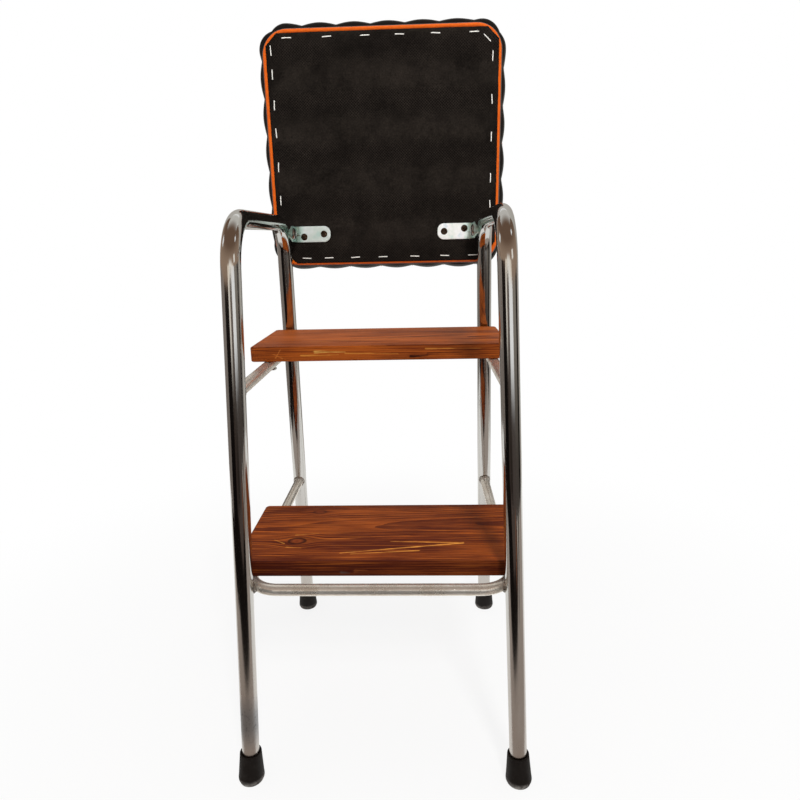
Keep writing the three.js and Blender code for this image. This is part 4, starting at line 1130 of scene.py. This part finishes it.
class STOOL_OT_dust_cover(bpy.types.Operator):
    """Makes the dust cover, stretched over the base and puckered at its staples"""
    bl_idname = "stool.dust_cover"
    bl_label = "Dust Cover"

    front, rear = BASE_FRONT - 0.0002, BASE_REAR + 0.0032
    lap = {-1: 0.0008, 1: 0.002}
    front_chamfer, rear_chamfer = 0.0135, 0.022
    columns, rows, chamfer_rows = 84, 74, (4, 8)
    thickness = 0.0004
    above_base = 0.0003
    # How far the cloth sags free of the base, and how near a staple it is drawn in
    sag, staple_reach = 0.0011, 0.007
    pucker, pucker_reach = 0.00035, 0.012
    # The cloth lies flat under the brackets and over the side rails
    bracket_reach = 0.014
    rail_start, rail_reach = 0.106, 0.03

    def execute(self, context):
        finish = coat("spunbond_cloth", spunbond_cloth)
        columns, rows = self.columns, self.rows
        front_rows, rear_rows = self.chamfer_rows
        staples = [Vector((x, y)) for x, y, _ in staple_places()]
        levels = [self.front + self.front_chamfer * i / front_rows for i in range(front_rows)]
        straight = (self.front + self.front_chamfer, self.rear - self.rear_chamfer)
        levels += [straight[0] + (straight[1] - straight[0]) * i / rows for i in range(rows)]
        levels += [self.rear - self.rear_chamfer * (1 - i / rear_rows) for i in range(rear_rows + 1)]
        shape = bmesh.new()
        grid = []
        for y in levels:
            left, right = self.edge(-1, y), self.edge(1, y)
            line = []
            for i in range(columns + 1):
                x = left + (right - left) * i / columns
                height = UNDERSIDE + self.above_base - self.lift(x, y, staples)
                line.append(shape.verts.new((x, y, height)))
            grid.append(line)
        skin(shape, grid[::-1], closed=False, smooth=True)
        area = sum(face.calc_area() for face in shape.faces)
        mesh = on_seat(mesh_of(shape))
        cover = piece("stapled_dust_cover", mesh, "seat", "black_cloth", finish, "dust_cover")
        thick = cover.modifiers.new("thickness", "SOLIDIFY")
        thick.thickness = self.thickness
        thick.offset = 0
        return {"FINISHED"}

    def edge(self, sign, y):
        """Where the cloth ends on that side, its corners folded in."""
        fold = max(0, self.front_chamfer - (y - self.front), self.rear_chamfer - (self.rear - y))
        waver = 0.0004 * noise.noise(Vector((sign * 3, y * 60, 0)))
        return BASE_SHIFT + sign * (base_half_width(y) + self.lap[sign] - fold + waver)

    def lift(self, x, y, staples):
        """How far the cloth stands off the base: it sinks at each staple and lies flat under a bracket."""
        spot = Vector((x, y))
        nearest = min((spot - staple).length for staple in staples)
        sunk = 1 - math.exp(-(nearest / self.staple_reach) ** 2)
        wander = 0.5 + 0.5 * noise.noise(Vector((x * 17, y * 23, 1.7)))
        folds = noise.noise(Vector((x * 190, y * 190, 4)))
        pucker = self.pucker * math.exp(-nearest / self.pucker_reach) * folds
        beside = max(abs(y) - BRACKET_HALF_WIDTH, BRACKET_TIP - abs(x), 0) / self.bracket_reach
        beside = max(0, min(1, beside, (self.rail_start - abs(x)) / self.rail_reach))
        free = beside ** 2 * (3 - 2 * beside)
        return min((self.sag * wander * sunk + pucker) * free, max(0, 0.08 * (BASE_REAR - 0.004 - y)))


class STOOL_OT_staples(bpy.types.Operator):
    """Makes the staples that hold the dust cover"""
    bl_idname = "stool.staples"
    bl_label = "Staples"

    half_width, thickness, corner, leg = 0.00054, 0.0006, 0.0011, 0.006

    def execute(self, context):
        # The staples' near-white colour is a painted glare
        finish = coat("painted_glare_wire", painted_glare_wire)
        reach = settings().seat.staple_length / 2
        half_width, thickness, corner = self.half_width, self.thickness, self.corner
        crown = [(-reach, self.leg), (-reach, corner), *[(-reach + corner - x, corner - y) for x, y in
                 arc((0, 0), corner, 0, 90, 3)][1:]]
        path = [*crown, *[(-x, z) for x, z in reversed(crown)]]
        shape = bmesh.new()
        rings = []
        for i, (x, z) in enumerate(path):
            before, after = path[max(i - 1, 0)], path[min(i + 1, len(path) - 1)]
            along = Vector((after[0] - before[0], after[1] - before[1])).normalized()
            normal = Vector((-along.y, along.x)) * thickness
            ring = [(x, -half_width, z), (x, half_width, z), (x + normal.x, half_width, z + normal.y),
                    (x + normal.x, -half_width, z + normal.y)]
            rings.append([shape.verts.new(point) for point in ring])
        skin(shape, rings)
        capped(shape, rings)
        bmesh.ops.recalc_face_normals(shape, faces=shape.faces)
        staple = smoothed(mesh_of(shape), 50)
        points = []
        turns = []
        for x, y, turn in staple_places():
            points.append(SEAT_PLACE @ Vector((x, y, UNDERSIDE - thickness)))
            turns.append((SEAT_PLACE.to_3x3() @ Matrix.Rotation(turn, 3, "Z")).to_euler())
        mesh = copies(staple, points, turns, finish)
        piece("cover_staples", mesh, "seat", "steel", finish)
        return {"FINISHED"}


class STOOL_OT_piping(bpy.types.Operator):
    """Makes the contrast cord round the base"""
    bl_idname = "stool.piping"
    bl_label = "Piping"

    def execute(self, context):
        radius = settings().seat.piping_diameter / 2
        outset = GAP + radius
        finish = coat("contrast_vinyl", contrast_vinyl)
        corners = base_corners(outset, BASE_BOTTOM + radius)
        mesh = tube(corners, BASE_CORNER + outset, radius, finish, 20, 24, closed=True)
        piece("contrast_piping", on_seat(mesh), "seat", "orange_vinyl", finish, "seat_piping")
        return {"FINISHED"}


# Quilted cushion

PAD_OVERHANG = 0.0143
PAD_FORWARD = 0.0022
PAD_CORNER = 0.0365
PAD_ROLL = 0.017
PAD_LOBE = 0.004
PAD_BOTTOM = 0.0285125
PAD_MIDDLE = (BASE_FRONT + BASE_REAR) / 2 - PAD_FORWARD
PAD_HALF_DEPTH = (BASE_REAR - BASE_FRONT) / 2 + PAD_OVERHANG
PAD_HALF_WIDTH = (BASE_FRONT_HALF + BASE_REAR_HALF) / 2 + PAD_OVERHANG
PAD_TAPER = (BASE_FRONT_HALF - BASE_REAR_HALF) / 2 / PAD_HALF_WIDTH
PAD_REACHES = (PAD_HALF_WIDTH - PAD_CORNER, PAD_HALF_DEPTH - PAD_CORNER)
QUILT_TWIST = 0.0076


def pad_outline(across, along, outset):
    """Point of the cushion's outline for a place on the edge of the square from -1 to 1. The quilting
    is laid on with a slight twist, so the place first slides along the outline."""
    side, share = (0, across) if along == -1 else (1, along) if across == 1 else \
        (2, -across) if along == 1 else (3, -along)
    half_length = PAD_REACHES[side % 2] + PAD_CORNER * math.pi / 4
    past = share * half_length + QUILT_TWIST - half_length
    side = (side + (past > 0)) % 4
    reach, distance = PAD_REACHES[side % 2], PAD_REACHES[(side + 1) % 2]
    slid = past + (reach + PAD_CORNER * math.pi / 4) * (-1 if past > 0 else 1)
    turn = max(0, abs(slid) - reach) / PAD_CORNER
    radius = PAD_CORNER + outset
    parallel = math.copysign(min(abs(slid), reach) + radius * math.sin(turn), slid)
    point = Vector((parallel, -distance - radius * math.cos(turn)))
    point.rotate(Matrix.Rotation(side * math.pi / 2, 2))
    return Vector((point.x * (1 - PAD_TAPER * point.y / PAD_HALF_DEPTH), point.y))


def pad_lobe(across, along, bulge):
    """How far the outline moves at a place: drawn in at a seam, and less full at two of the corners,
    where the cover is pulled tightest."""
    flat = 0.0012 - 0.0006 * across * along
    return -flat * bulge - PAD_LOBE * (1 - bulge)


def quilt_bulge(i, j):
    """How far the quilting stands out at a mesh place: 0 on the seams, 1 in the middle of a diamond."""
    column, row = i / QUILT_SPLIT - QUILT_COLUMNS / 2, j / QUILT_SPLIT
    seams = math.sin(math.pi * (column + row + 1) / 2) * math.sin(math.pi * (column - row + 1) / 2)
    return math.sqrt(abs(seams)) if abs(seams) > 1e-9 else 0.0


class QuiltedPad:
    """The cushion's mesh: a lattice of places over its top, then rings down its side."""

    columns = QUILT_COLUMNS * QUILT_SPLIT
    rows = QUILT_ROWS * QUILT_SPLIT
    side_rings = 16
    # How high the top is crowned, and each diamond on it; how deep a seam dips at the side
    crown, puff, seam_dip = 0.006, 0.005, 0.0028
    # The side is widest at a share of its height, and its roll takes a share of the rings
    widest_share, roll_share = 0.42, 0.62
    tuck, tuck_degrees, hem = 0.0058, 82, 0.0068

    def __init__(self):
        self.points = []
        self.faces = []
        self.seams = set()
        self.edges = []
        self.make_top()
        self.make_side()

    def at(self, i, j):
        return j * (self.columns + 1) + i

    def shares(self, i, j):
        return 2 * i / self.columns - 1, 2 * j / self.rows - 1

    def add(self, x, y, z):
        self.points.append(Vector((x + BASE_SHIFT, y + PAD_MIDDLE, z)))
        return len(self.points) - 1

    def make_top(self):
        for j in range(self.rows + 1):
            for i in range(self.columns + 1):
                across, along = self.shares(i, j)
                share = max(abs(across), abs(along))
                bulge = quilt_bulge(i, j)
                outset = (pad_lobe(across, along, bulge) if share == 1 else 0) - PAD_ROLL
                edge = pad_outline(across / share, along / share, outset) if share else Vector((0, 0))
                rise = self.crown * (1 - share ** 4) + self.puff * bulge * (1 - share ** 8 / 2)
                spot = self.add(*(edge * share), PAD_TOP + rise)
                if bulge == 0:
                    self.seams.add(spot)
        for j in range(self.rows):
            for i in range(self.columns):
                a, b, c, d = self.at(i, j), self.at(i + 1, j), self.at(i + 1, j + 1), self.at(i, j + 1)
                self.faces.append((a, b, c, d))
                if {a, c} <= self.seams:
                    self.edges.append((a, c))
                if {b, d} <= self.seams:
                    self.edges.append((b, d))

    def make_side(self):
        rim = [(i, 0) for i in range(self.columns)] + [(self.columns, j) for j in range(self.rows)]
        rim += [(i, self.rows) for i in range(self.columns, 0, -1)] + [(0, j) for j in range(self.rows, 0, -1)]
        upper = [self.at(i, j) for i, j in rim]
        middle = PAD_BOTTOM + self.widest_share * (PAD_TOP - PAD_BOTTOM)
        profile = []
        for k in range(1, self.side_rings):
            share = k / self.side_rings
            if share < self.roll_share:
                angle = math.pi / 2 * (1 - share / self.roll_share)
                reach, rise = PAD_ROLL, PAD_TOP - middle
            else:
                angle = math.radians(self.tuck_degrees) * (share - self.roll_share) / (1 - self.roll_share)
                reach, rise = self.tuck, PAD_BOTTOM - middle
            profile.append((reach * (1 - math.cos(angle)), middle + rise * math.sin(angle), 1))
        profile += [(self.hem, PAD_BOTTOM, 0.8), (PAD_OVERHANG - GAP, PAD_BOTTOM, 0),
                    (PAD_OVERHANG - GAP, BASE_TOP + 2 * GAP, 0)]
        for inset, height, lobed in profile:
            lower = []
            for i, j in rim:
                bulge = quilt_bulge(i, j)
                across, along = self.shares(i, j)
                outset = pad_lobe(across, along, bulge) * lobed - inset
                dip = self.seam_dip * (1 - bulge) * lobed if height > middle else 0
                x, y = pad_outline(across, along, outset)
                lower.append(self.add(x, y if lobed else y + PAD_FORWARD, height - dip))
                if bulge == 0 and lobed == 1:
                    self.seams.add(lower[-1])
                    if height > middle + 0.001:
                        self.edges.append((upper[len(lower) - 1], lower[-1]))
            for k in range(len(rim)):
                after = (k + 1) % len(rim)
                self.faces.append((lower[k], lower[after], upper[after], upper[k]))
            if lobed < 1:
                self.seams.update(lower)
            upper = lower
        self.faces.append(tuple(reversed(upper)))


def puffed(mesh, pinned):
    """The cushion once its stuffing has filled it out: cloth under pressure, held at its seams, and no
    point further than the cap from where it started."""
    body = linked("puffed", mesh)
    group = body.vertex_groups.new(name="pinned")
    group.add(sorted(pinned), 1, "REPLACE")
    rest = [vertex.co.copy() for vertex in mesh.vertices]
    cloth = body.modifiers.new("cloth", "CLOTH")
    cloth.settings.vertex_group_mass = "pinned"
    cloth.settings.use_pressure = True
    cloth.settings.uniform_pressure_force = 4
    cloth.settings.mass = 0.15
    cloth.settings.tension_stiffness = 12
    cloth.settings.bending_stiffness = 0.3
    cloth.settings.quality = 6
    cloth.settings.effector_weights.gravity = 0
    cloth.collision_settings.use_collision = False
    scene = bpy.context.scene
    for step in range(1, 21):
        scene.frame_set(step)
    result = evaluated(body)
    scene.frame_set(1)
    cap = 0.0022
    for vertex, start in zip(result.vertices, rest):
        moved = vertex.co - start
        if moved.length > cap:
            vertex.co = start + moved.normalized() * cap
    return result


class STOOL_OT_cushion(bpy.types.Operator):
    """Makes the quilted cushion, its rolled welt and its stitching"""
    bl_idname = "stool.cushion"
    bl_label = "Cushion"

    def execute(self, context):
        made = settings().seat
        finish = coat("embossed_vinyl", embossed_vinyl)
        pad = QuiltedPad()
        mesh = bpy.data.meshes.new("pad")
        mesh.from_pydata([tuple(point) for point in pad.points], [], pad.faces)
        mesh.shade_smooth()
        mesh = puffed(mesh, pad.seams)
        cushion = piece("quilted_cushion", on_seat(mesh), "seat", "black_vinyl", finish, "seat_cushion")
        radius = made.welt_diameter / 2
        outset = GAP + made.piping_diameter + radius / 2
        corners = base_corners(outset, BASE_BOTTOM + made.piping_diameter / 2 + 2 * radius)
        # The welt's grey colour is a painted highlight along the cord
        smooth = coat("painted_highlight_vinyl", painted_highlight_vinyl)
        welt = tube(corners, BASE_CORNER + outset, radius, smooth, 20, 24, closed=True)
        piece("rolled_welt", on_seat(welt), "seat", "black_vinyl", smooth, "seat_cushion")
        self.stitch(pad, made)
        return {"FINISHED"}

    def stitch(self, pad, made):
        finish = coat("sewing_thread", sewing_thread)
        used = sorted({spot for edge in pad.edges for spot in edge})
        place = {spot: i for i, spot in enumerate(used)}
        middle = Vector((BASE_SHIFT, PAD_MIDDLE, 0.03))
        points = []
        for spot in used:
            point = pad.points[spot]
            flat = (Vector((point.x, point.y, middle.z)) - middle).normalized()
            rise = Vector((0, 0, 1)) if point.z >= PAD_TOP - 0.001 else flat
            points.append(point + rise * 0.0004)
        seams = bpy.data.meshes.new("seams")
        seams.from_pydata([tuple(p) for p in points], [(place[a], place[b]) for a, b in pad.edges], [])
        reach = 0.0019
        stitch = turned([(0, -reach), (0.0003, -reach * 0.85), (0.00045, -reach * 0.4), (0.00045, reach * 0.4),
                         (0.0003, reach * 0.85), (0, reach)], 6)
        helper = linked("stitch", smoothed(stitch, 80))
        mesh = grown(seams, stitches_tree, {
            "Copy": helper, "Pitch": made.stitch_pitch, "Material": finish}, helper)
        piece("quilt_stitching", on_seat(mesh), "seat", "orange_vinyl", finish)


class STOOL_OT_stage(bpy.types.Operator):
    """Makes the floor, the light and the camera"""
    bl_idname = "stool.stage"
    bl_label = "Stage"

    def execute(self, context):
        self.make_floor()
        self.make_sky()
        self.make_cards()
        self.make_lamps()
        self.make_camera()
        return {"FINISHED"}

    def background_rays(self, tree):
        """1 on rays that come from the camera, a reflection or glass."""
        path = node(tree, "LightPath").outputs
        seen = node(tree, "Math", path["Is Camera Ray"], path["Is Glossy Ray"], operation="MAXIMUM")
        return node(tree, "Math", seen, path["Is Transmission Ray"], operation="MAXIMUM")

    def make_floor(self):
        """A pale floor that keeps the shadow near the object and fades to white far off."""
        finish = bpy.data.materials.new("matt_floor")
        tree = blank_tree(finish)
        place = node(tree, "TexCoord").outputs["Object"]
        distance = node(tree, "VectorMath", place, operation="LENGTH").outputs["Value"]
        far = node(tree, "MapRange", distance, 0.25, 0.9, 0.85, 1, interpolation_type="SMOOTHSTEP")
        paint = node(tree, "BsdfDiffuse", Color=tuple(settings().stage.floor))
        share = node(tree, "Math", far, self.background_rays(tree), operation="MULTIPLY")
        glow = node(tree, "Emission", Color="#ffffff", Strength=1)
        mixed = node(tree, "MixShader", share, paint, glow)
        node(tree, "OutputMaterial", Surface=mixed)
        shape = bmesh.new()
        bmesh.ops.create_circle(shape, cap_ends=True, segments=64, radius=12)
        mesh = mesh_of(shape)
        mesh.materials.append(finish)
        linked("floor", mesh)

    def make_sky(self):
        world = bpy.data.worlds.new("studio")
        bpy.context.scene.world = world
        tree = blank_tree(world)
        strength = node(tree, "MapRange", self.background_rays(tree), To_Min=0.42, To_Max=1)
        sky = node(tree, "Background", Color="#ffffff", Strength=strength)
        node(tree, "OutputWorld", Surface=sky)

    def make_cards(self):
        """Stands the cards that polished metal mirrors round the chair: brown-grey in front and above
        and pale behind, with dark and bright strips by the floor. Each card has a colour at its foot
        and one at its head, the two heights that they change between, its start and end in degrees
        from the front round by the right, and its profile as (radius, height) pairs. The patches lie
        on the floor: a dark one that narrows towards the front legs, with brown ones by its right, and
        a white one under the chair. The ceiling rises towards the back."""
        low = ((1.0, 0.005), (1.1, 0.55))
        inner = ((0.98, 0.005), (1.08, 0.5))
        wall = ((1.6, 0.55), (1.7, 1.75), (1.4, 2.5))
        cards = (
            ("card_wall_front", "#a08875", "#6f5848", 0.6, 2, -130, 112, wall),
            ("card_wall_back", "#b4afa8", "#c9c5be", 0.6, 2.6, 112, 230, wall),
            ("card_low_side_left", "#7d746d", "#8a8079", 0, 0.5, -134, -66, low),
            ("card_low_dark_left", "#0f0c0b", "#1a1614", 0, 0.5, -66, -25, low),
            ("card_low_streak", "#3a312c", "#efe6da", 0.26, 0.45, -25, -12, low),
            ("card_low_brown", "#2d2622", "#6f655e", 0.1, 0.5, -12, 8, low),
            ("card_low_window", "#4a423e", "#ffffff", 0.2, 0.4, 8, 40, low),
            ("card_low_grey", "#4a433e", "#8b847b", 0.1, 0.5, 40, 74, low),
            ("card_low_dark_right", "#0f0c0b", "#1a1614", 0, 0.5, 74, 96, low),
            ("card_low_side_right", "#a39c94", "#a39c94", 0, 0.5, 96, 114, low),
            ("card_low_back", "#c9c5be", "#c2beb7", 0, 0.5, 114, 226, low),
            ("card_low_dark_back", "#1c1815", "#1c1815", 0, 0.5, 150, 166, inner),
            ("card_low_brown_back", "#3a322c", "#3a322c", 0, 0.5, 200, 222, inner),
            ("card_ground", "#a79b92", "#a79b92", 0, 1, 0, 360, ((0.1, 0.002), (1.0, 0.002))),
            ("card_glow", "#fff2e0", "#a08875", 0.56, 0.74, -24, 34, ((1.5, 0.54), (1.5, 0.76))),
            ("card_glow_core", "#fff8ee", "#9a8270", 0.58, 1, -8, 20, ((1.48, 0.54), (1.48, 1))),
            ("card_spark_left", "#ffffff", "#ffffff", 0, 1, -98, -82, ((1.28, 1.02), (1.28, 1.32))),
            ("card_spark_right", "#ffffff", "#ffffff", 0, 1, 60, 74, ((1.28, 1.55), (1.28, 1.92))),
            ("card_spark_low", "#fff8ee", "#fff8ee", 0, 1, 40, 55, ((1.3, 0.66), (1.3, 0.98))),
        )
        for name, foot, head, foot_height, head_height, start, end, profile in cards:
            shape = bmesh.new()
            steps = max(2, (end - start) // 5)
            angles = [math.radians(start + (end - start) * i / steps) for i in range(steps + 1)]
            rows = [[shape.verts.new((radius * math.sin(a), -radius * math.cos(a), height)) for a in angles]
                    for radius, height in profile]
            skin(shape, rows, closed=False)
            self.make_card(name, mesh_of(shape), foot, head, foot_height, head_height)
        dark = ((-0.17, -0.33), (0.04, -0.31), (0.24, -0.43), (0.46, -0.57), (0.6, -0.8), (0.98, -0.98),
                (0, -1), (-0.98, -0.98), (-0.98, 0.2), (-0.64, -0.2), (-0.42, -0.42), (-0.25, -0.365))
        brown = ((0.05, -0.62), (0.42, -0.72), (0.7, -0.98), (-0.3, -0.98))
        back = ((-0.98, 0.16), (-0.2, -0.17), (0.2, -0.17), (0.98, 0.16), (0.7, 0.7), (-0.7, 0.7))
        tan = ((0.295, -0.585), (0.325, -0.572), (0.52, -0.93), (0.46, -0.95))
        line = ((0.36, -0.38), (0.39, -0.43), (0.85, -0.66), (0.85, -0.52))
        above = ((-1.45, -1.45), (1.45, -1.45), (1.45, 1.45), (-1.45, 1.45))
        for name, foot, head, height, slope, corners in (
                ("card_floor_dark", "#14100e", "#14100e", 0.004, 0, dark),
                ("card_floor_back", "#f6f4f0", "#f6f4f0", 0.004, 0, back),
                ("card_floor_brown", "#4f443e", "#4f443e", 0.006, 0, brown),
                ("card_floor_tan", "#a5694c", "#a5694c", 0.008, 0, tan),
                ("card_floor_line", "#2e2a22", "#2e2a22", 0.008, 0, line),
                ("card_ceiling", "#6f5848", "#d3d0ca", 2.6, 0.3, above)):
            shape = bmesh.new()
            shape.faces.new([shape.verts.new((x, y, height + slope * y)) for x, y in corners])
            self.make_card(name, mesh_of(shape), foot, head, 2.45, 2.8)

    def make_card(self, name, mesh, foot, head, foot_height, head_height):
        """One card: a glow that only mirrors see, from the foot colour to the head colour."""
        finish = bpy.data.materials.new(name)
        tree = blank_tree(finish)
        place = node(tree, "TexCoord").outputs["Object"]
        height = node(tree, "SeparateXYZ", place).outputs["Z"]
        share = node(tree, "MapRange", height, foot_height, head_height, interpolation_type="SMOOTHSTEP")
        colour = node(tree, "Mix", Factor=share, A=foot, B=head, data_type="RGBA")
        glow = node(tree, "Emission", Color=colour, Strength=1)
        node(tree, "OutputMaterial", Surface=glow)
        mesh.materials.append(finish)
        card = linked(name, mesh)
        card.visible_camera = False
        card.visible_diffuse = False
        card.visible_shadow = False
        card.visible_transmission = False

    def make_lamps(self):
        power = settings().stage.key_power
        for name, place, size, share in (
            ("key", (0.42, -1.6, 1.75), 0.3, 3.2), ("fill", (-1.3, -1.2, 1.3), 1.4, 0.2),
            ("top", (0.1, 0.3, 2.3), 1.6, 1.3),
        ):
            lamp = bpy.data.lights.new(name, "AREA")
            lamp.size = size
            lamp.energy = power * share
            made = linked(name, lamp)
            made.visible_glossy = False
            made.location = place
            made.rotation_euler = (Vector((0, 0, 0.4)) - Vector(place)).to_track_quat("-Z", "Y").to_euler()

    def make_camera(self):
        """The camera at the place, turn and lens fitted to the view."""
        place = (0.04554, -0.69528, 0.56132)
        yaw, pitch, roll = 0.037, 0.26, -0.022
        ahead = Vector((-math.sin(yaw) * math.cos(pitch), math.cos(yaw) * math.cos(pitch), -math.sin(pitch)))
        right = Vector((math.cos(yaw), math.sin(yaw), 0))
        up = right.cross(ahead)
        across = right * math.cos(roll) + up * math.sin(roll)
        upright = up * math.cos(roll) - right * math.sin(roll)
        camera = bpy.data.cameras.new("camera")
        camera.lens = settings().stage.lens
        camera.sensor_width = 36
        camera.clip_start = 0.02
        made = linked("camera", camera)
        turn = Matrix((across, upright, -ahead)).transposed()
        made.matrix_world = Matrix.Translation(place) @ turn.to_4x4()
        bpy.context.scene.camera = made
        bpy.context.scene.view_settings.view_transform = "Standard"


OPERATORS = (
    STOOL_OT_stage, STOOL_OT_side_frames, STOOL_OT_ferrules, STOOL_OT_step_supports, STOOL_OT_weld_beads,
    STOOL_OT_step_boards, STOOL_OT_board_screws, STOOL_OT_pivot_hardware, STOOL_OT_hinge_brackets,
    STOOL_OT_bracket_screws, STOOL_OT_seat_base, STOOL_OT_dust_cover, STOOL_OT_staples, STOOL_OT_piping,
    STOOL_OT_cushion,
)


class StoolSettings(bpy.types.PropertyGroup):
    frame: bpy.props.PointerProperty(type=FrameSettings, name="Frame", description="The tube frame")
    steps: bpy.props.PointerProperty(type=StepSettings, name="Steps", description="The two boards")
    seat: bpy.props.PointerProperty(type=SeatSettings, name="Seat", description="The quilted seat")
    stage: bpy.props.PointerProperty(type=StageSettings, name="Stage", description="Floor, light and camera")


class STOOL_PT_pieces(bpy.types.Panel):
    """Lists the pieces of the step stool chair and their settings"""
    bl_idname = "STOOL_PT_pieces"
    bl_label = "Step Stool Chair"
    bl_space_type = "VIEW_3D"
    bl_region_type = "UI"
    bl_category = "Stool"

    def draw(self, context):
        for group in (settings().frame, settings().steps, settings().seat, settings().stage):
            box = self.layout.box()
            for name in group.bl_rna.properties.keys():
                if name not in ("rna_type", "name"):
                    box.prop(group, name)
        for operator in OPERATORS:
            self.layout.operator(operator.bl_idname)


CLASSES = (FrameSettings, StepSettings, SeatSettings, StageSettings, StoolSettings, *OPERATORS, STOOL_PT_pieces)


def register():
    for made in CLASSES:
        bpy.utils.register_class(made)
    bpy.types.Scene.stool = bpy.props.PointerProperty(
        type=StoolSettings, name="Stool", description="Sizes and colours of the step stool chair")


def unregister():
    del bpy.types.Scene.stool
    for made in reversed(CLASSES):
        bpy.utils.unregister_class(made)


def main():
    register()
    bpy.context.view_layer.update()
    for operator in OPERATORS:
        group, name = operator.bl_idname.split(".")
        getattr(getattr(bpy.ops, group), name)()


if __name__ == "__main__":
    main()
